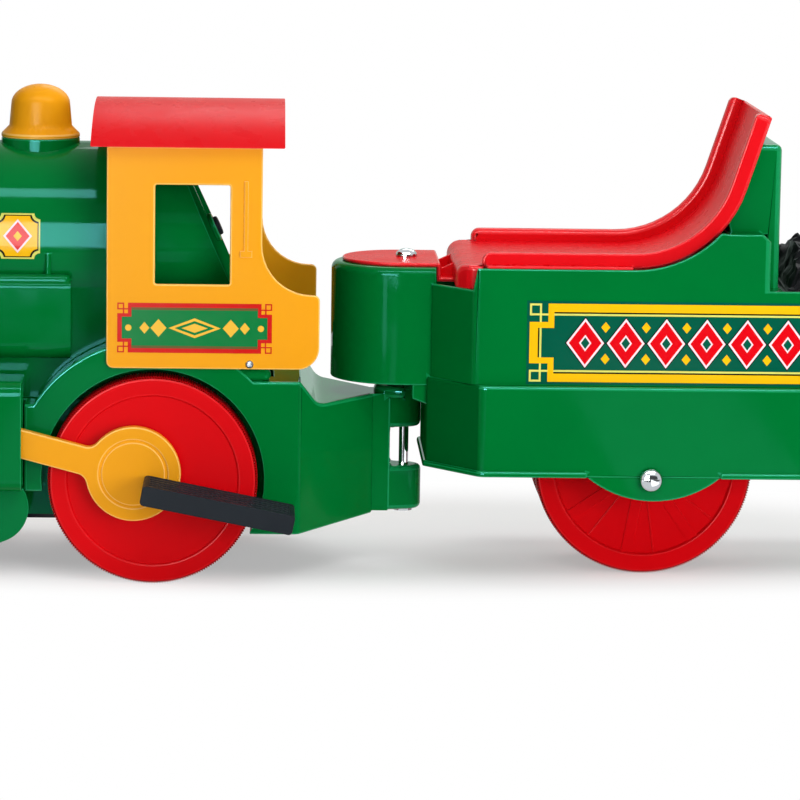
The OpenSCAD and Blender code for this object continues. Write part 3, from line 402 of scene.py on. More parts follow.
# Lighter copies of the mouldings' finishes for their rounded edges: the lighter colour is a painted
# highlight, the stronger shine is real.
EDGE_GREEN_PAINTED_HIGHLIGHT = Polyethylene("green_polished_edge", Slot.GREEN, "#13904F", "#0C8446", 0.1, "#7CEDFF",
                          shine=0.3)
EDGE_YELLOW_PAINTED_HIGHLIGHT = Polyethylene("yellow_polished_edge", Slot.YELLOW, "#FFC766", "#FDC05A", 0.3,
                           "#FFF3CB")
EDGE_RED_PAINTED_HIGHLIGHT = Polyethylene("red_polished_edge", Slot.RED, "#EE2A31", "#E8232B", 0.2, "#FFBCBC",
                        shine=0.2)
EDGE_WHEEL_PAINTED_HIGHLIGHT = Polyethylene("red_wheel_edge", Slot.RED, "#E4161D", "#DA1219", 0.3, "#FFBCBC",
                          shine=0.1)
BLACK = Polypropylene("black_polypropylene", Slot.BLACK, "#20262C", "#191E24", 0.42)
COAL = Polypropylene("coal_black_polypropylene", Slot.BLACK, "#1A1B1E", "#0E0F11", 0.34, grain=3.0)
ZINC = Metal("zinc_plated_steel", Slot.STEEL, "#A7ACB2", "#8D939A", 0.3)
SCREW = Metal("dull_zinc_screw", Slot.STEEL, "#767C83", "#5C6269", 0.4)
CHROME = Metal("chrome_plated_steel", Slot.CHROME, "#C9CDD1", "#B4BABF", 0.09, depth=0.003)
BRASS = Metal("turned_brass", Slot.BRASS, "#C9A251", "#B28A3C", 0.25)
NYLON = Nylon("natural_nylon", Slot.NYLON, "#E9E6DA", "#DDD9CB", 0.4)
LENS = Polycarbonate("clear_polycarbonate", Slot.LENS, "#F4F6F2", "#E8ECE6", 0.05)
FILM_GREEN = Vinyl("dark_green_vinyl", Slot.GREEN, "#005A43", "#00543F", 0.14)
FIELD_GREEN = Vinyl("field_green_vinyl", Slot.GREEN, "#007F3C", "#007638", 0.2)
INK_YELLOW = Vinyl("yellow_ink_vinyl", Slot.YELLOW, "#FBC10A", "#F6B806", 0.16)
INK_PALE = Vinyl("pale_line_vinyl", Slot.YELLOW, "#DFE071", "#D6D55F", 0.16)
INK_RED = Vinyl("red_ink_vinyl", Slot.RED, "#E2000F", "#D8000E", 0.16)
INK_ROSE = Vinyl("rose_outline_vinyl", Slot.RED, "#FFE3E8", "#FBD6DD", 0.16)
INK_BROWN = Vinyl("brown_shade_vinyl", Slot.BLACK, "#6E5A2B", "#66552B", 0.2)
INK_BLACK = Vinyl("black_line_vinyl", Slot.BLACK, "#171A10", "#10130C", 0.16)
BAR_RED = Vinyl("border_red_vinyl", Slot.RED, "#D31710", "#C9130D", 0.2)
DOT_GOLD = Vinyl("gold_dot_vinyl", Slot.YELLOW, "#F3C244", "#EDB938", 0.2)
# A plain moulding: its CAD node, its finish and the radius of its edges in millimetres.
Plain = tuple[str, Finish, float]
# A printed lozenge: its half axes in millimetres and its ink.
Lozenge = tuple[float, float, Finish]
# The rounded edges of these mouldings take a stronger shine than their faces, and a lighter colour
# that is a painted highlight.
POLISHED_WITH_PAINTED_HIGHLIGHT = {GREEN: EDGE_GREEN_PAINTED_HIGHLIGHT, YELLOW: EDGE_YELLOW_PAINTED_HIGHLIGHT, RED: EDGE_RED_PAINTED_HIGHLIGHT, WHEEL_RED: EDGE_WHEEL_PAINTED_HIGHLIGHT}


def alone(obj: Object) -> None:
    """Make an object the only selected one, and the active one."""
    bpy.ops.object.select_all(action="DESELECT")
    obj.select_set(True)
    bpy.context.view_layer.objects.active = obj


def modify(obj: Object, kind: str, **settings: Any) -> None:
    """Add a modifier to an object and apply it.

    Args:
        obj: the object that gets it.
        kind: Blender's name of the modifier's type.
        settings: the modifier's properties.
    """
    alone(obj)
    made = obj.modifiers.new(kind.lower(), kind)
    for key, value in settings.items():
        setattr(made, key, value)
    bpy.ops.object.modifier_apply(modifier=made.name)


def settle(obj: Object, body: str, finish: Finish, *nodes: str) -> Object:
    """Let a finished piece ride on its body and hide the CAD nodes that it stands for.

    Args:
        obj: the piece.
        body: the CAD body that carries it.
        finish: not used.
        nodes: CAD nodes that it replaces.

    Returns:
        The same piece.
    """
    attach(obj, body)
    if nodes:
        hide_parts(*nodes)
    LOG.info("%s rides on %s, %d faces", obj.name, body, len(obj.data.polygons))
    return obj


def body_of(node: str) -> str:
    """The CAD body that a node belongs to."""
    return frame["nodes"][node]["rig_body"]


def merged(node: str, name: str) -> Object:
    """Copy a CAD node into a clean object: corners merged, flat triangles joined to faces.

    Args:
        node: the CAD node.
        name: the new object's name.

    Returns:
        The copy, which has no material yet.
    """
    mesh = frame["nodes"][node].data.copy()
    mesh.materials.clear()
    obj = bpy.data.objects.new(name, mesh)
    bpy.context.scene.collection.objects.link(obj)
    alone(obj)
    bpy.ops.object.mode_set(mode="EDIT")
    bpy.ops.mesh.select_all(action="SELECT")
    bpy.ops.mesh.remove_doubles(threshold=WELD)
    bpy.ops.mesh.customdata_custom_splitnormals_clear()
    bpy.ops.mesh.dissolve_limited(angle_limit=FLAT)
    bpy.ops.object.mode_set(mode="OBJECT")
    return obj


def parted(obj: Object) -> None:
    """Part the hollow-cornered faces of an object into plain ones.

    Args:
        obj: the object.
    """
    alone(obj)
    bpy.ops.object.mode_set(mode="EDIT")
    mesh = bmesh.from_edit_mesh(obj.data)
    for face in mesh.faces:
        face.select_set(False)
    for face in mesh.faces:
        if not all(loop.is_convex for loop in face.loops):
            face.select_set(True)
    bmesh.update_edit_mesh(obj.data)
    bpy.ops.mesh.quads_convert_to_tris(quad_method="BEAUTY", ngon_method="BEAUTY")
    bpy.ops.mesh.tris_convert_to_quads(face_threshold=PAIRED, shape_threshold=math.pi)
    bpy.ops.object.mode_set(mode="OBJECT")


@dataclass(frozen=True)
class Zone:
    """A space, and the radius of the edges that are rounded in it, all in millimetres.

    The space is a box, given alike for both sides of the train. About a hub it is a ring.
    """

    radius: float = 0.0
    x: Point = (-FAR, FAR)
    y: Point = (0.0, FAR)
    z: Point = (-FAR, FAR)
    hub: Point = (0.0, 0.0)
    ring: Point = (0.0, FAR)

    def holds(self, place: Vector) -> bool:
        """Whether a point, in metres, lies in the space.

        Args:
            place: the point.

        Returns:
            True inside the space and on its border.
        """
        x, y, z = place.x / MM, abs(place.y) / MM, place.z / MM
        far = math.hypot(x - self.hub[0], z - self.hub[1])
        ranges = ((x, self.x), (y, self.y), (z, self.z), (far, self.ring))
        return all(low <= value <= high for value, (low, high) in ranges)


def ends_room(loop: bmesh.types.BMLoop, outer: Iterable[Edge]) -> float:
    """How far an edge can be rounded before a face's neighbouring edges close in on it.

    Args:
        loop: the edge as seen from one of its faces.
        outer: all edges that get rounded.

    Returns:
        The widest rounding in metres.
    """
    loops = (loop.link_loop_prev, loop, loop.link_loop_next)
    before, along, after = ((x.link_loop_next.vert.co - x.vert.co).normalized() for x in loops)
    widest, pull = math.inf, 0.0
    for near, first, second in ((loops[0], before, along), (loops[2], along, after)):
        turn = math.atan2(first.cross(second).dot(loop.face.normal), first.dot(second))
        if near.edge not in outer:
            widest = min(widest, TAKEN * near.edge.calc_length() * abs(math.sin(turn)))
        elif turn < BEND:
            pull += math.tan(turn / 2)
    return min(widest, TAKEN * loop.edge.calc_length() / pull) if pull > 0 else widest


def room(edge: Edge, outer: Iterable[Edge]) -> float:
    """How far an edge can be rounded before it runs into the next ones.

    Args:
        edge: an outer edge.
        outer: all edges that get rounded.

    Returns:
        The widest rounding in metres that its two faces have room for.
    """
    start, length = edge.verts[0].co, edge.calc_length()
    along = (edge.verts[1].co - start).normalized()
    widest = math.inf
    for loop in edge.link_loops:
        arms = [v.co - start for v in loop.face.verts]
        depth = max((arm - along * arm.dot(along)).length for arm in arms)
        widest = min(widest, TAKEN * depth, ends_room(loop, outer))
        apart = (e for e in loop.face.edges if not set(e.verts) & set(edge.verts))
        for rival in (e for e in apart if e in outer):
            arms = [v.co - start for v in rival.verts]
            spans = sorted(arm.dot(along) for arm in arms)
            level = spans[1] - spans[0] > BESIDE * rival.calc_length()
            if level and spans[0] < length and spans[1] > 0:
                widest = min(widest, SHARED * min((a - along * a.dot(along)).length for a in arms))
    return widest


def runs(outer: Iterable[Edge]) -> Iterable[list[Edge]]:
    """Sort edges into runs, in each of which every edge carries on from another one.

    Args:
        outer: the edges.

    Yields:
        The edges of one run.
    """
    left = set(outer)
    while left:
        run, queue = [], [left.pop()]
        while queue:
            edge = queue.pop()
            run.append(edge)
            for vert in edge.verts:
                arm = (edge.other_vert(vert).co - vert.co).normalized()
                for other in (e for e in vert.link_edges if e in left):
                    if arm.dot((other.other_vert(vert).co - vert.co).normalized()) < ONWARD:
                        left.remove(other)
                        queue.append(other)
        yield run


def weigh(obj: Object, radius: float, rounds: Sequence[Zone]) -> float:
    """Give the outer edges of an object bevel weights, each for its own radius.

    Args:
        obj: the object.
        radius: radius of the other edges in millimetres.
        rounds: edges with a radius of their own; the first zone that holds an edge counts.

    Returns:
        The radius in metres that a weight of one stands for.
    """
    mesh = bmesh.new()
    mesh.from_mesh(obj.data)
    mesh.normal_update()
    layer = mesh.edges.layers.float.new("bevel_weight_edge")
    largest = max([radius] + [r.radius for r in rounds])
    outer: dict[Edge, float] = {}
    for edge in (e for e in mesh.edges if len(e.link_faces) == 2):
        if edge.calc_face_angle_signed() > SHARP:
            middle = (edge.verts[0].co + edge.verts[1].co) / 2
            outer[edge] = next((r.radius for r in rounds if r.holds(middle)), radius)
    for run in runs(outer):
        plain = [edge for edge in run if edge.calc_length() > SPECK * MM] or run
        width = min(min(outer[edge], room(edge, outer) / MM) for edge in plain)
        for edge in run:
            edge[layer] = width / largest
    mesh.to_mesh(obj.data)
    mesh.free()
    return largest * MM


def smooth(obj: Object) -> None:
    """Shade an object smooth except over its sharp edges, with large faces kept flat."""
    alone(obj)
    bpy.ops.object.shade_smooth_by_angle(angle=SMOOTH)
    modify(obj, "WEIGHTED_NORMAL", keep_sharp=True, weight=80)


def eased(node: str, finish: Finish, radius: float, rounds: Sequence[Zone] = ()) -> Object:
    """Copy a moulded CAD node and round its edges, which take more shine and a painted highlight
    where the finish has one.

    Args:
        node: the CAD node.
        finish: its finish.
        radius: radius of its edges in millimetres, or zero for sharp edges.
        rounds: edges with a radius of their own.

    Returns:
        The copy.
    """
    obj = merged(node, f"{node}_moulding")
    obj.data.materials.append(finish.material())
    if finish in POLISHED_WITH_PAINTED_HIGHLIGHT:
        obj.data.materials.append(POLISHED_WITH_PAINTED_HIGHLIGHT[finish].material())
    width = weigh(obj, radius, rounds) if radius else 0.0
    parted(obj)
    if width:
        # The rounded faces take the edge finish, whose lighter colour is a painted highlight.
        modify(obj, "BEVEL", width=width, segments=3, material=len(obj.data.materials) - 1,
               limit_method="WEIGHT", use_clamp_overlap=False, loop_slide=False)
    return obj


def rounded(node: str, finish: Finish, radius: float, rounds: Sequence[Zone] = ()) -> Object:
    """Put a copy with rounded edges in the place of a moulded CAD node.

    Args:
        node: the CAD node.
        finish: its finish.
        radius: radius of its edges in millimetres, or zero for sharp edges.
        rounds: edges with a radius of their own.

    Returns:
        The new piece.
    """
    obj = eased(node, finish, radius, rounds)
    smooth(obj)
    return settle(obj, body_of(node), finish, node)


def rounded_all(pieces: Iterable[Plain]) -> None:
    """Round several plain mouldings."""
    for node, finish, radius in pieces:
        rounded(node, finish, radius)


def grained(obj: Object, zone: Zone, facing: int) -> None:
    """Give a green moulding's faces that look along the train a fine matt grain and a darker green,
    which is painted shade.

    Args:
        obj: the moulding, with its finish and its edge finish.
        zone: the space in which the faces lie.
        facing: one for faces that look to the tender's end, minus one for the pilot's end.
    """
    obj.data.materials.append(GRAINED_WITH_PAINTED_SHADE.material())
    for face in obj.data.polygons:
        if face.normal.x * facing > LOOKS and zone.holds(face.center):
            face.material_index = len(obj.data.materials) - 1


def painted(finish: Finish, *nodes: str) -> None:
    """Give CAD nodes that stay as they are a finish.

    Args:
        finish: the finish.
        nodes: the CAD nodes.
    """
    for node in nodes:
        obj = frame["nodes"][node]
        obj.data.materials.clear()
        obj.data.materials.append(finish.material())
        LOG.info("%s is finished in %s", node, finish.name)


class Print:
    """A printed film: flat fields of ink, each a hair higher than the one it lies on."""

    STEP = 0.1 * MM

    def __init__(self, name: str, inks: Sequence[Finish]) -> None:
        """Start an empty film with these inks.

        Args:
            name: the piece's name.
            inks: the finishes, in the order of their numbers.
        """
        bpy.ops.mesh.primitive_plane_add(size=MM)
        self.obj = bpy.context.object
        self.obj.name = name
        self.inks = list(inks)
        for ink in inks:
            self.obj.data.materials.append(ink.material())
        bpy.ops.object.mode_set(mode="EDIT")
        bpy.ops.mesh.delete(type="VERT")

    def field(self, points: Sequence[Point], ink: Finish, level: int) -> None:
        """Add one closed field.

        Args:
            points: its outline in millimetres, anticlockwise.
            ink: its ink.
            level: how many steps it lies over the ground.
        """
        bpy.ops.mesh.primitive_circle_add(vertices=len(points), radius=MM, fill_type="NGON")
        mesh = bmesh.from_edit_mesh(self.obj.data)
        fresh = [v for v in mesh.verts if v.select]
        for vert, (u, v) in zip(fresh, points):
            vert.co = (u * MM, v * MM, level * self.STEP)
        bmesh.update_edit_mesh(self.obj.data)
        self.obj.active_material_index = self.inks.index(ink)
        bpy.ops.object.material_slot_assign()

    def bar(self, u0: float, v0: float, u1: float, v1: float, ink: Finish, level: int) -> None:
        """Add a rectangle between two corners."""
        self.field([(u0, v0), (u1, v0), (u1, v1), (u0, v1)], ink, level)

    def disc(self, u: float, v: float, wide: float, high: float, ink: Finish, level: int,
             corners: int = 4) -> None:
        """Add a lozenge about a centre, or an ellipse where it has many corners."""
        turns = [2 * math.pi * i / corners for i in range(corners)]
        self.field([(u + wide * math.cos(a), v + high * math.sin(a)) for a in turns], ink, level)

    def stack(self, u: float, v: float, lozenges: Sequence[Lozenge], level: int) -> None:
        """Add lozenges about one centre, each a step higher than the one before."""
        for rise, (wide, high, ink) in enumerate(lozenges):
            self.disc(u, v, wide, high, ink, level + rise)

    def finish(self) -> Object:
        """Close the drawing and give each field its thickness.

        Returns:
            The film, lying in the plane of its drawing.
        """
        mesh = bmesh.from_edit_mesh(self.obj.data)
        mesh.normal_update()
        for face in mesh.faces:
            face.select_set(face.normal.z < 0)
        bmesh.update_edit_mesh(self.obj.data)
        bpy.ops.mesh.flip_normals()
        bpy.ops.object.mode_set(mode="OBJECT")
        modify(self.obj, "SOLIDIFY", thickness=self.STEP, offset=-1.0)
        return self.obj


def on_wall(obj: Object, side: Side, x: float, y: float, z: float) -> None:
    """Stand a drawn film on a side wall of the train.

    Args:
        obj: the film as drawn, with its lower left corner at the origin.
        side: the side of the train.
        x: the film's end that is nearer to the pilot, in millimetres.
        y: distance of the wall from the centre line.
        z: height of the lower edge.
    """
    width = max(v.co.x for v in obj.data.vertices)
    if side is Side.LEFT:
        place = Matrix.Translation(Vector((x, -y, z)) * MM)
    else:
        turn = Matrix.Rotation(math.pi, 4, "Z")
        place = Matrix.Translation(Vector((x + width / MM, y, z)) * MM) @ turn
    obj.data.transform(place @ Matrix.Rotation(QUARTER, 4, "X"))


@dataclass(frozen=True)
class KeyBorder:
    """A border of bars whose corners fold like a Greek key round small squares.

    Its width and height are in millimetres, and the other sizes are multiplied by the scale.
    """

    width: float
    height: float
    scale: float = 1.0
    line: float = 2.0
    square: float = 12.0
    bar: float = 8.4
    start: float = 18.6
    fold: float = 24.6

    def ring(self, sheet: Print, near: float, far: float, end: float, ink: Finish,
             level: int) -> None:
        """Add four straight bars, one along each side of the border.

        Args:
            sheet: the film.
            near: distance of the bars' outer edges from the border's edge.
            far: distance of their inner edges.
            end: distance of their ends from the corners.
            ink: their ink.
            level: their height over the ground.
        """
        near, far, end = (size * self.scale for size in (near, far, end))
        w, h = self.width, self.height
        for box in ((end, near, w - end, far), (end, h - far, w - end, h - near),
                    (near, end, far, h - end), (w - far, end, w - near, h - end)):
            sheet.bar(*box, ink, level)

    def draw(self, sheet: Print, bars: Finish, lines: Finish, level: int) -> None:
        """Draw the border on a film.

        Args:
            sheet: the film.
            bars: ink of the thick bars.
            lines: ink of the small squares.
            level: height of the bars over the ground.
        """
        s, k, b, a, f = self.square, self.line, self.bar, self.start, self.fold
        thin = ((0, 0, s, k), (0, s - k, s, s), (0, k, k, s - k), (s - k, k, s, s - k),
                (s, s - k, a, s), (s - k, s, s, a))
        thick = ((a, b, f, f), (b, a, a, f))
        fields = [(box, lines) for box in thin] + [(box, bars) for box in thick]
        for right, top in product((False, True), repeat=2):
            for box, ink in fields:
                u0, v0, u1, v1 = (size * self.scale for size in box)
                if right:
                    u0, u1 = self.width - u1, self.width - u0
                if top:
                    v0, v1 = self.height - v1, self.height - v0
                sheet.bar(u0, v0, u1, v1, ink, level)
        self.ring(sheet, 0.0, self.bar, self.start, bars, level)


@dataclass
class Underframe:
    """The locomotive's frame with its floor, the hinge pin and the turning washer."""

    edge: float = 1.6
    rounds: tuple[Zone, ...] = (
        # The bore of the hinge lugs.
        Zone(0.6, x=(40, 60), y=(0, 6)),
        # The rim of the wheel arch.
        Zone(5.0, y=(132, 136), hub=(-206, 105), ring=(138, 144)),
        # The rear corner of the deck.
        Zone(4.0, x=(-66, -54), y=(128, 136)),
        # The hinge lugs, then the tongue's upper and lower edges.
        Zone(5.0, x=(14, 90)),
        Zone(5.0, x=(-62, 14), z=(150, 215)),
        Zone(3.5, x=(-62, 14), z=(60, 110)),
        # The other edges of the flanks.
        Zone(3.0, y=(132, 136)))
    plain: tuple[Plain, ...] = (
        ("floor_plate", BLACK, 0.8), ("floor_screws", ZINC, 0.3), ("turning_washer", BLACK, 0.6),
        ("hinge_pin", CHROME, 0.4), ("pin_caps", CHROME, 0.0))

    def build(self) -> None:
        """Round the frame's edges and finish the floor and the hinge."""
        rounded("loco_frame", GREEN, self.edge, self.rounds)
        rounded_all(self.plain)


@dataclass
class Boiler:
    """Boiler shell with smokebox, stack, dome, headlight and a plate on each side."""

    edge: float = 1.5
    # The rear end of the tank beside the barrel.
    rounds: tuple[Zone, ...] = (Zone(5.0, x=(-292, -286), y=(60, 120)),)
    # The console's faces in the cab that look to the tender, which get the grain and a painted
    # shade.
    console: Zone = Zone(x=(-180, -100), y=(0, 110))
    plain: tuple[Plain, ...] = (
        ("smokebox_front", BLACK, 1.0), ("smokebox_door", YELLOW, 1.0), ("headlight", YELLOW, 1.2),
        ("headlight_lens", LENS, 0.0), ("smokestack", BLACK, 1.2), ("steam_dome", YELLOW, 1.2))
    axis_z: float = 335.0
    radius: float = 98.0
    plate_x: float = -366.0
    plate_w: float = 45.0
    plate_h: float = 46.0
    plate_low: float = -13.0
    glue: float = 0.05
    scoop: float = 6.0
    scoop_steps: int = 6
    # Share of an inset by which the middle of a hollow corner moves in.
    creep: float = 0.6
    slices: int = 11
    # The insets of the plate's fields and the half axes of its lozenges.
    rims: tuple[tuple[float, Finish], ...] = ((0, INK_PALE), (1.6, INK_BLACK), (2.7, INK_YELLOW))
    lozenges: tuple[Lozenge, ...] = (
        (14.5, 17, INK_ROSE), (12, 14.2, INK_RED), (4.2, 5, INK_YELLOW))

    def build(self) -> None:
        """Round the mouldings and lay the plates on the boiler's curve."""
        shell = rounded("boiler_shell", GREEN, self.edge, self.rounds)
        grained(shell, self.console, 1)
        rounded_all(self.plain)
        for side in Side:
            self.plate(side)

    def scooped(self, inset: float) -> list[Point]:
        """Outline of a plate with hollow corners, inset from the plate's edge.

        Args:
            inset: distance from the edge in millimetres.

        Returns:
            The outline, anticlockwise.
        """
        w, h, r = self.plate_w, self.plate_h, self.scoop + inset
        made: list[Point] = []
        for u, v, quarters in ((0, 0, 1), (w, 0, 2), (w, h, 3), (0, h, 0)):
            cu = u + (inset if u == 0 else -inset) * self.creep
            cv = v + (inset if v == 0 else -inset) * self.creep
            for step in range(self.scoop_steps + 1):
                a = QUARTER * (quarters - step / self.scoop_steps)
                p = (cu + r * math.cos(a), cv + r * math.sin(a))
                made.append((min(max(p[0], inset), w - inset), min(max(p[1], inset), h - inset)))
        return made

    def plate(self, side: Side) -> None:
        """Lay one plate with a plain lozenge on the boiler's side.

        Args:
            side: the side of the train.
        """
        sheet = Print(f"boiler_plate_{side.tag}",
                      (INK_PALE, INK_BLACK, INK_YELLOW, INK_ROSE, INK_RED))
        for level, (inset, ink) in enumerate(self.rims, 1):
            sheet.field(self.scooped(inset), ink, level)
        sheet.stack(self.plate_w / 2, self.plate_h / 2, self.lozenges, len(self.rims) + 1)
        for i in range(1, self.slices):
            bpy.ops.mesh.select_all(action="SELECT")
            bpy.ops.mesh.bisect(plane_co=(0, self.plate_h * i / self.slices * MM, 0),
                                plane_no=(0, 1, 0))
        obj = sheet.finish()
        for vert in obj.data.vertices:
            u, v, lift = vert.co
            a = (v / MM + self.plate_low) / self.radius
            r = (self.radius + self.glue) * MM + lift
            x = self.plate_x * MM + (u if side is Side.LEFT else self.plate_w * MM - u)
            vert.co = (x, side.value * r * math.cos(a), self.axis_z * MM + r * math.sin(a))
        settle(obj, "locomotive", INK_YELLOW)


@dataclass
class Front:
    """Pilot, cylinder covers and the front axle with its wheels and caps."""

    plain: tuple[Plain, ...] = (
        ("pilot", RED, 1.8),
        ("cylinder_left", GREEN, 4.0), ("front_wheel_left", WHEEL_RED, 1.0),
        ("cylinder_right", GREEN, 4.0), ("front_wheel_right", WHEEL_RED, 1.0),
        ("front_axle", ZINC, 0.3), ("front_caps", CHROME, 0.0))

    def build(self) -> None:
        """Round the front's mouldings."""
        rounded_all(self.plain)


@dataclass
class Cab:
    """Cab sides with their printed films and screws, cab front, roof and console."""

    edge: float = 2.0
    wall_y: float = 138.0
    # The screw's hole, and the rib on the rear post.
    rounds: tuple[Zone, ...] = (
        Zone(0.4, hub=(-110.0, 222.5), ring=(0, 6)), Zone(0.5, y=(138.3, 145)))
    panels: tuple[Plain, ...] = (("cab_front", YELLOW, 0.9), ("cab_roof", RED, 1.6))
    console: tuple[Plain, ...] = (("button_bezel", GREEN, 1.6), ("start_button", BLACK, 2.0))
    film_x: float = -242.0
    film_z: float = 234.0
    film_w: float = 154.0
    film_h: float = 50.0
    key: float = 0.57
    key_line: float = 2.2
    key_bar: float = 7.8
    shade: float = 2.6
    # Half axes of the lozenges in the middle, and place, half axes and corners of the row beside.
    lozenges: tuple[Lozenge, ...] = (
        (26, 10, DOT_GOLD), (20, 7.2, FIELD_GREEN), (13, 4.6, DOT_GOLD))
    row: tuple[tuple[float, float, float, int], ...] = (
        (36, 8, 9, 4), (50, 5, 6, 4), (66, 3.2, 3.2, 20))
    slot_long: float = 5.2
    slot_wide: float = 1.3
    slot_floor: float = 1.4
    slot_turns: Point = (35.0, 125.0)

    def build(self) -> None:
        """Round the cab's mouldings, print the films and cut the screws' recesses."""
        for side in Side:
            rounded(f"cab_{side.tag}", YELLOW, self.edge, self.rounds)
            self.film(side)
        rounded_all(self.panels)
        self.screws()
        rounded_all(self.console)
        painted(BLACK, "start_switch")

    def film(self, side: Side) -> None:
        """Print the film of one cab side: a green field in a red border.

        Args:
            side: the side of the train.
        """
        sheet = Print(f"cab_film_{side.tag}", (FIELD_GREEN, INK_BROWN, BAR_RED, DOT_GOLD))
        w, h = self.film_w, self.film_h
        border = KeyBorder(w, h, self.key, line=self.key_line, bar=self.key_bar)
        bar, fold = border.bar * self.key, border.fold * self.key
        for u, low, high in ((fold, bar, fold), (bar, fold, h - fold), (fold, h - fold, h - bar)):
            sheet.bar(u, low, w - u, high, FIELD_GREEN, 1)
        for low, high in ((bar, bar + self.shade), (h - bar - self.shade, h - bar)):
            sheet.bar(fold, low, w - fold, high, INK_BROWN, 2)
        border.draw(sheet, BAR_RED, BAR_RED, 3)
        sheet.stack(w / 2, h / 2, self.lozenges, 3)
        for sign, (far, wide, high, corners) in product((-1, 1), self.row):
            sheet.disc(w / 2 + sign * far, h / 2, wide, high, DOT_GOLD, 3, corners)
        obj = sheet.finish()
        on_wall(obj, side, self.film_x, self.wall_y, self.film_z)
        settle(obj, "locomotive", FIELD_GREEN)

    def screws(self) -> None:
        """Cut a crossed recess into the heads of the two cab screws."""
        obj = merged("cab_screws", "cab_screws_crossed")
        obj.data.materials.append(SCREW.material())
        low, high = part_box("cab_screws")
        centre = (low + high) / 2
        ground = (self.wall_y + self.slot_floor) * MM
        depth = high.y - ground + MM
        for turn, side in product(self.slot_turns, Side):
            middle = (centre.x, side.value * (ground + depth / 2), centre.z)
            bpy.ops.mesh.primitive_cube_add(size=1, location=middle)
            cutter = bpy.context.object
            cutter.scale = (self.slot_long * MM, depth, self.slot_wide * MM)
            cutter.rotation_euler = (0, math.radians(turn), 0)
            bpy.ops.object.transform_apply(location=True, rotation=True, scale=True)
            modify(obj, "BOOLEAN", operation="DIFFERENCE", solver="EXACT", object=cutter)
            bpy.data.objects.remove(cutter)
        smooth(obj)
        settle(obj, "locomotive", SCREW, "cab_screws")


@dataclass(frozen=True)
class Tread:
    """A knurled tread: a ring of fine teeth round a wheel, all sizes in millimetres."""

    x: float
    z: float
    radius: float
    low: float
    high: float
    teeth: int
    edge: float = 1.0
    tooth: float = 1.4
    wall: float = 2.6
    seat: float = 2.2

    def build(self, name: str, side: Side, body: str) -> None:
        """Model the ring, in which every other pair of its edges lies lower.

        Args:
            name: the piece's name.
            side: the side of the train.
            body: the body that carries the wheel.
        """
        hub = (self.x * MM, side.value * (self.low + self.high) / 2 * MM, self.z * MM)
        bpy.ops.mesh.primitive_cylinder_add(
            vertices=4 * self.teeth, radius=self.radius * MM, end_fill_type="NOTHING",
            depth=(self.high - self.low) * MM, location=hub, rotation=(QUARTER, 0, 0))
        obj = bpy.context.object
        obj.name = name
        bpy.ops.object.transform_apply(location=True, rotation=True, scale=True)
        bpy.ops.object.mode_set(mode="EDIT")
        mesh = bmesh.from_edit_mesh(obj.data)
        for vert in mesh.verts:
            turn = math.atan2(vert.co.z - hub[2], vert.co.x - hub[0])
            vert.select = round(turn / math.pi * 2 * self.teeth) % 4 in (1, 2)
        mesh.select_flush_mode()
        bmesh.update_edit_mesh(obj.data)
        shrink = 1 - self.tooth / self.radius
        bpy.ops.transform.resize(value=(shrink, 1, shrink), center_override=hub)
        bpy.ops.mesh.select_all(action="SELECT")
        bpy.ops.mesh.normals_make_consistent(inside=False)
        bpy.ops.object.mode_set(mode="OBJECT")
        modify(obj, "SOLIDIFY", thickness=self.wall * MM, offset=-1.0)
        obj.data.materials.append(WHEEL_RED.material())
        bpy.ops.object.shade_flat()
        settle(obj, body, WHEEL_RED)

    def shod(self, node: str, side: Side) -> None:
        """Round a wheel, pull its rim in to make room for the ring, and lay the ring round it.

        Args:
            node: the wheel's CAD node.
            side: the side of the train.
        """
        obj = eased(node, WHEEL_RED, self.edge)
        hub = Vector((self.x * MM, 0, self.z * MM))
        rim = (self.radius - self.seat) * MM
        for vert in obj.data.vertices:
            arm = vert.co - hub
            arm.y = 0
            if arm.length > rim:
                vert.co -= arm.normalized() * (arm.length - rim)
        smooth(obj)
        self.build(node.replace("wheel", "tread"), side, body_of(node))
        settle(obj, body_of(node), WHEEL_RED, node)


@dataclass
class Drive:
    """Drive wheels with knurled treads, rods, pedals and the gear train in the frame."""

    tread: Tread = Tread(x=-206.0, z=105.0, radius=105.0, low=104.0, high=138.4, teeth=248)
    rod_edge: float = 1.4
    pedal_edge: float = 1.0

    def build(self) -> None:
        """Dress the wheels, rods and pedals, and finish what the frame hides."""
        for side in Side:
            self.tread.shod(f"drive_wheel_{side.tag}", side)
            rounded(f"rod_{side.tag}", YELLOW, self.rod_edge)
            rounded(f"pedal_{side.tag}", BLACK, self.pedal_edge)
        painted(BLACK, "battery", "gearbox_left", "gearbox_right")
        painted(ZINC, "motor", "idler_pin", "drive_axle")
        painted(BRASS, "motor_pinion", "idler_gear")
        painted(NYLON, "axle_gear", "axle_bushes")


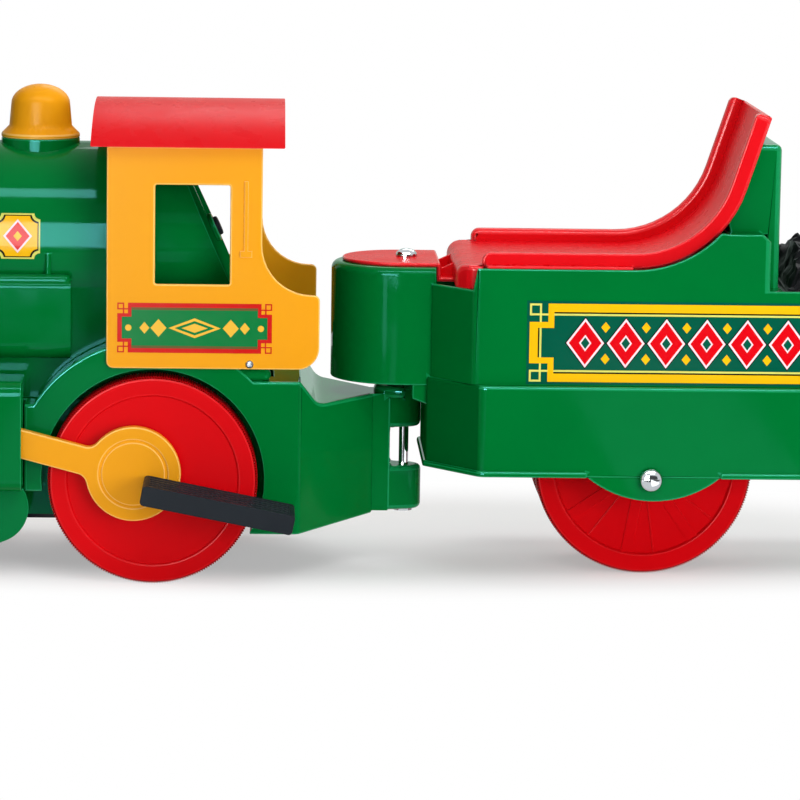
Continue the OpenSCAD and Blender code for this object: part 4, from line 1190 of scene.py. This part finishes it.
@dataclass
class Tender:
    """Tender shell with its films, the seat, the coal cover, the wheels and the axle."""

    edge: float = 1.8
    rounds: tuple[Zone, ...] = (
        # The bore of the column.
        Zone(0.6, x=(40, 60), y=(0, 8)),
        # The pillar behind the seat.
        Zone(6.0, x=(408, 426), z=(290, 460)),
        # The skirt's upper and lower edges.
        Zone(4.5, x=(60, 700), z=(203, 205)),
        Zone(3.0, z=(117, 119)),
        # The rim of the walls, then the foot of the column.
        Zone(2.6, x=(100, 700), y=(130.5, 133), z=(290, 400)),
        Zone(3.0, x=(-40, 80), z=(160, 185)))
    seat_edge: float = 2.2
    seat_rounds: tuple[Zone, ...] = (
        # The bore of the seat's tongue, then the rims along its sides.
        Zone(0.6, x=(40, 60), y=(0, 8)),
        Zone(5.5, x=(118, 640), y=(104, 124), z=(322, 500)),
        # The ribs between the tongue and the seat, then the seat's round front.
        Zone(0.8, x=(78, 100), y=(34, 46)),
        Zone(5.0, x=(92, 125), y=(0, 123), z=(298, 326)))
    # The faces at the tender's front that look to the pilot, which get the grain and a painted
    # shade.
    front: Zone = Zone(x=(50, 110), y=(0, 110), z=(90, 210))
    plain: tuple[Plain, ...] = (("tender_axle", ZINC, 0.3), ("tender_caps", CHROME, 0.0))
    tread: Tread = Tread(x=294.0, z=111.0, radius=111.0, low=32.0, high=62.4, teeth=262)
    wall_y: float = 132.0
    film_x: float = 167.0
    film_z: float = 205.0
    film_w: float = 362.0
    film_h: float = 84.6
    margin: float = 2.8
    # The row of lozenges: their number, the first one's place and the half axes of their fields.
    count: int = 7
    first: float = 56.0
    lozenges: tuple[Lozenge, ...] = (
        (20.5, 26.5, INK_BLACK), (19, 25, INK_ROSE), (16.4, 21.8, INK_RED), (6.2, 8.4, INK_ROSE),
        (4.4, 6, FILM_GREEN))
    dot: Point = (4.5, 5.5)
    dot_rise: float = 16.0
    # The coal: where its heap and its lumps begin over the cover's foot, and the lumps' sizes.
    heap_low: float = 7.0
    lump_low: float = 9.0
    lump: float = 17.0
    lump_depth: float = 7.0
    lump_cuts: int = 2
    lump_facet: float = 18.0
    heap_slope: float = 0.1

    def build(self) -> None:
        """Round the tender's mouldings, print its films and finish the wheels."""
        shell = rounded("tender_body", GREEN, self.edge, self.rounds)
        grained(shell, self.front, -1)
        rounded("seat", RED, self.seat_edge, self.seat_rounds)
        self.coal()
        for side in Side:
            self.film(side)
            self.tread.shod(f"tender_wheel_{side.tag}", side)
        rounded_all(self.plain)
        painted(BLACK, "tender_spacers")

    def film(self, side: Side) -> None:
        """Print the long film of one side: a row of lozenges in a folded border.

        Args:
            side: the side of the train.
        """
        sheet = Print(f"tender_film_{side.tag}",
                      (FILM_GREEN, INK_YELLOW, INK_PALE, INK_BLACK, INK_ROSE, INK_RED))
        m = self.margin
        w, h = self.film_w - 2 * m, self.film_h - 2 * m
        sheet.bar(-m, -m, w + m, h + m, FILM_GREEN, 1)
        border = KeyBorder(w, h)
        border.draw(sheet, INK_YELLOW, INK_PALE, 3)
        inner = border.square - border.line
        border.ring(sheet, border.bar, inner, border.fold, INK_BLACK, 2)
        border.ring(sheet, inner, border.square, border.fold, INK_PALE, 2)
        pitch = (w - 2 * self.first) / (self.count - 1)
        for i in range(self.count):
            u = self.first + pitch * i
            sheet.stack(u, h / 2, self.lozenges, 2)
            if i:
                for v in (h / 2 - self.dot_rise, h / 2 + self.dot_rise):
                    sheet.disc(u - pitch / 2, v, *self.dot, INK_YELLOW, 2)
        obj = sheet.finish()
        obj.data.transform(Matrix.Translation((m * MM, m * MM, 0)))
        on_wall(obj, side, self.film_x, self.wall_y, self.film_z)
        settle(obj, "tender", FILM_GREEN)

    def coal(self) -> None:
        """Break the coal cover's heap into lumps."""
        obj = merged("coal_cover", "coal_cover_lumps")
        parted(obj)
        obj.data.materials.append(COAL.material())
        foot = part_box("coal_cover")[0].z
        bpy.ops.object.mode_set(mode="EDIT")
        mesh = bmesh.from_edit_mesh(obj.data)
        for face in mesh.faces:
            high = face.calc_center_median().z > foot + self.heap_low * MM
            face.select = high and face.normal.z > self.heap_slope
        bmesh.update_edit_mesh(obj.data)
        bpy.ops.mesh.subdivide(number_cuts=self.lump_cuts)
        mesh = bmesh.from_edit_mesh(obj.data)
        least = foot + self.lump_low * MM
        group = [v.index for v in mesh.verts if v.select and v.co.z > least]
        bpy.ops.object.mode_set(mode="OBJECT")
        obj.vertex_groups.new(name="heap").add(group, 1.0, "REPLACE")
        lumps = bpy.data.textures.new("coal_lumps", "VORONOI")
        lumps.noise_scale = self.lump * MM
        modify(obj, "DISPLACE", texture=lumps, strength=-self.lump_depth * MM, mid_level=0.0,
               texture_coords="LOCAL", vertex_group="heap")
        bpy.ops.object.shade_smooth_by_angle(angle=math.radians(self.lump_facet))
        settle(obj, "coal", COAL, "coal_cover")


@dataclass(frozen=True)
class Lamp:
    """A soft box: its place, the point it faces and its size in metres, and its power in watts.

    A card is a lamp that only shows in polished surfaces, where a shaded box doesn't show.
    """

    name: str
    place: Place
    aim: Place
    size: Point
    power: float
    card: bool = False
    shaded: bool = False

    def hang(self) -> None:
        """Make the lamp, out of the camera's sight."""
        data = bpy.data.lights.new(self.name, "AREA")
        data.shape = "RECTANGLE"
        data.size, data.size_y = self.size
        data.energy = self.power
        obj = bpy.data.objects.new(self.name, data)
        bpy.context.scene.collection.objects.link(obj)
        obj.location = self.place
        ahead = Vector(self.aim) - Vector(self.place)
        obj.rotation_euler = ahead.to_track_quat("-Z", "Y").to_euler()
        obj.visible_camera = False
        obj.visible_diffuse = not self.card
        obj.visible_glossy = not self.shaded


@dataclass(frozen=True)
class Flag:
    """A cloth across the studio, upright or lying, that only shows in polished surfaces."""

    name: str
    place: Place
    size: Point
    colour: str
    lying: bool = False

    def put_up(self) -> None:
        """Make the cloth, which is as bright as its colour and lights nothing."""
        tilt = 0.0 if self.lying else QUARTER
        bpy.ops.mesh.primitive_plane_add(size=1, location=self.place, rotation=(tilt, 0, 0))
        obj = bpy.context.object
        obj.name = self.name
        obj.scale = (*self.size, 1.0)
        bpy.ops.object.transform_apply(location=True, rotation=True, scale=True)
        made = blank(bpy.data.materials, f"{self.name}_cloth")
        cloth = add(made.node_tree, "Emission", {"Color": linear(self.colour)})
        add(made.node_tree, "OutputMaterial", {"Surface": cloth.outputs[0]})
        obj.data.materials.append(made)
        for kind in ("camera", "diffuse", "transmission", "volume_scatter", "shadow"):
            setattr(obj, f"visible_{kind}", False)
        obj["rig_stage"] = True


@dataclass
class Studio:
    """The camera, the pale floor, the lamps and the cloths."""

    target: Place = (40.69, -142.0, 189.28)
    distance: float = 4000.0
    pitch: float = 8.5
    yaw: float = 2.0
    roll: float = 0.85
    lens: float = 180.0
    sensor: float = 36.0
    clip: Point = (0.1, 100.0)
    ambient: float = 0.4
    floor_size: float = 24.0
    floor_white: float = 0.38
    # The shadow's pool on the floor: its middle, how much narrower it is, and where it fades.
    pool_y: float = 0.35
    pool_squash: float = 2.7
    pool: Point = (0.5, 0.98)
    lamps: tuple[Lamp, ...] = (
        Lamp("key_box", (0.8, -2.2, 2.7), (0.0, 0.0, 0.15), (1.9, 1.4), 32),
        Lamp("low_box", (1.3, -2.3, 0.5), (0.1, 0.0, 0.15), (1.4, 0.9), 28, shaded=True),
        Lamp("rear_box", (0.6, 2.4, 2.2), (0.0, 0.0, 0.2), (2.0, 1.0), 22),
        Lamp("band_card", (-1.1, -2.74, 0.72), (-1.1, 0.0, 0.72), (1.5, 1.4), 280, card=True),
        Lamp("top_card", (0.0, -1.0, 1.9), (0.0, 0.0, 0.25), (2.6, 0.35), 80, card=True),
        Lamp("low_card", (-0.72, -1.4, 0.25), (0.0, 0.0, 0.25), (0.18, 0.9), 4, card=True),
        Lamp("sky_box", (0.0, 0.4, 2.8), (0.0, 0.0, 0.2), (3.0, 1.2), 24, shaded=True),
        Lamp("tongue_card", (0.42, -1.0, 0.02), (0.42, -1.0, 1.0), (0.22, 1.5), 2.5, card=True),
        Lamp("corner_card", (-0.3, -1.0, 0.02), (-0.3, -1.0, 1.0), (0.22, 1.5), 2.5, card=True))
    flags: tuple[Flag, ...] = (
        Flag("front_flag", (0.0, -3.4, 0.95), (7.0, 1.7), "#595959"),
        Flag("floor_flag", (0.0, -1.95, 0.01), (7.0, 2.8), "#616161", lying=True),
        Flag("rear_flag", (0.0, 2.0, 0.75), (7.0, 1.5), "#CBDFD7"))

    def build(self) -> None:
        """Set up the camera, floor, surroundings, lamps and cloths."""
        bpy.context.scene.view_settings.view_transform = "Standard"
        self.camera()
        self.floor()
        self.world()
        for lamp in self.lamps:
            lamp.hang()
        for flag in self.flags:
            flag.put_up()

    def camera(self) -> None:
        """Make the camera at the photograph's place."""
        e, y, a = (math.radians(t) for t in (self.pitch, self.yaw, self.roll))
        ahead = Vector((math.sin(y) * math.cos(e), math.cos(y) * math.cos(e), -math.sin(e)))
        right = Vector((math.cos(y), -math.sin(y), 0))
        up = right.cross(ahead)
        x_axis = right * math.cos(a) + up * math.sin(a)
        y_axis = up * math.cos(a) - right * math.sin(a)
        data = bpy.data.cameras.new("camera")
        data.lens = self.lens
        data.sensor_width = self.sensor
        data.clip_start, data.clip_end = self.clip
        obj = bpy.data.objects.new("camera", data)
        bpy.context.scene.collection.objects.link(obj)
        place = Matrix.Translation((Vector(self.target) - ahead * self.distance) * MM)
        obj.matrix_world = place @ Matrix((x_axis, y_axis, -ahead)).transposed().to_4x4()
        bpy.context.scene.camera = obj

    def floor(self) -> None:
        """Lay the pale floor, which fades to white away from the train."""
        bpy.ops.mesh.primitive_plane_add(size=self.floor_size)
        obj = bpy.context.object
        obj.name = "studio_floor"
        made = blank(bpy.data.materials, "white_studio_paper")
        tree = made.node_tree
        place = add(tree, "TexCoord").outputs["Object"]
        grain = add(tree, "TexNoise", {"Vector": place, "Scale": per_metre(40)})
        tint = add(tree, "Mix", {0: grain.outputs[0], 6: linear("#F7F7F7"),
                                 7: linear("#F4F4F4")}, data_type="RGBA")
        paper = add(tree, "BsdfDiffuse", {"Color": tint.outputs[2]})
        white = add(tree, "Emission", {"Strength": 1.0})
        near = add(tree, "Mapping", {"Vector": place, "Location": (0, -self.pool_y, 0),
                                     "Scale": (1, self.pool_squash, 0)})
        reach = add(tree, "VectorMath", {0: near.outputs[0]}, operation="LENGTH")
        fade = add(tree, "MapRange", {
            "Value": reach.outputs["Value"], "From Min": self.pool[0], "From Max": self.pool[1],
            "To Min": self.floor_white}, interpolation_type="SMOOTHSTEP")
        share = add(tree, "Math", {0: self.seen(tree), 1: fade.outputs[0]}, operation="MULTIPLY")
        surface = add(tree, "MixShader", {0: share.outputs[0], 1: paper.outputs[0],
                                          2: white.outputs[0]})
        add(tree, "OutputMaterial", {"Surface": surface.outputs[0]})
        obj.data.materials.append(made)
        obj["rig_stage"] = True

    def seen(self, tree: Tree) -> Socket:
        """One for rays from the camera, also by way of a mirror or a lens, and else zero.

        Args:
            tree: the node tree that asks.

        Returns:
            The output with that number.
        """
        path = add(tree, "LightPath")
        total = path.outputs["Is Camera Ray"]
        for kind in ("Is Glossy Ray", "Is Transmission Ray"):
            total = add(tree, "Math", {0: total, 1: path.outputs[kind]},
                        operation="MAXIMUM").outputs[0]
        return total

    def world(self) -> None:
        """Surround the train with pale grey that is white where it is seen."""
        made = blank(bpy.data.worlds, "pale_surround")
        tree = made.node_tree
        strength = add(tree, "MapRange", {
            "Value": self.seen(tree), "To Min": self.ambient, "To Max": 1.0})
        sky = add(tree, "Background", {"Color": (1, 1, 1, 1), "Strength": strength.outputs[0]})
        add(tree, "OutputWorld", {"Surface": sky.outputs[0]})
        bpy.context.scene.world = made


def main() -> None:
    """Build the train's looks, sub-assembly by sub-assembly, and the studio round it."""
    logging.basicConfig(level=logging.INFO, format="%(name)s: %(message)s")
    for part in (Underframe(), Boiler(), Front(), Cab(), Drive(), Tender(), Studio()):
        LOG.info("building %s", type(part).__name__)
        part.build()
    boxes = [[list(corner) for corner in box] for box in (CAD_BOX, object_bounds())]


if __name__ == "__main__":
    main()
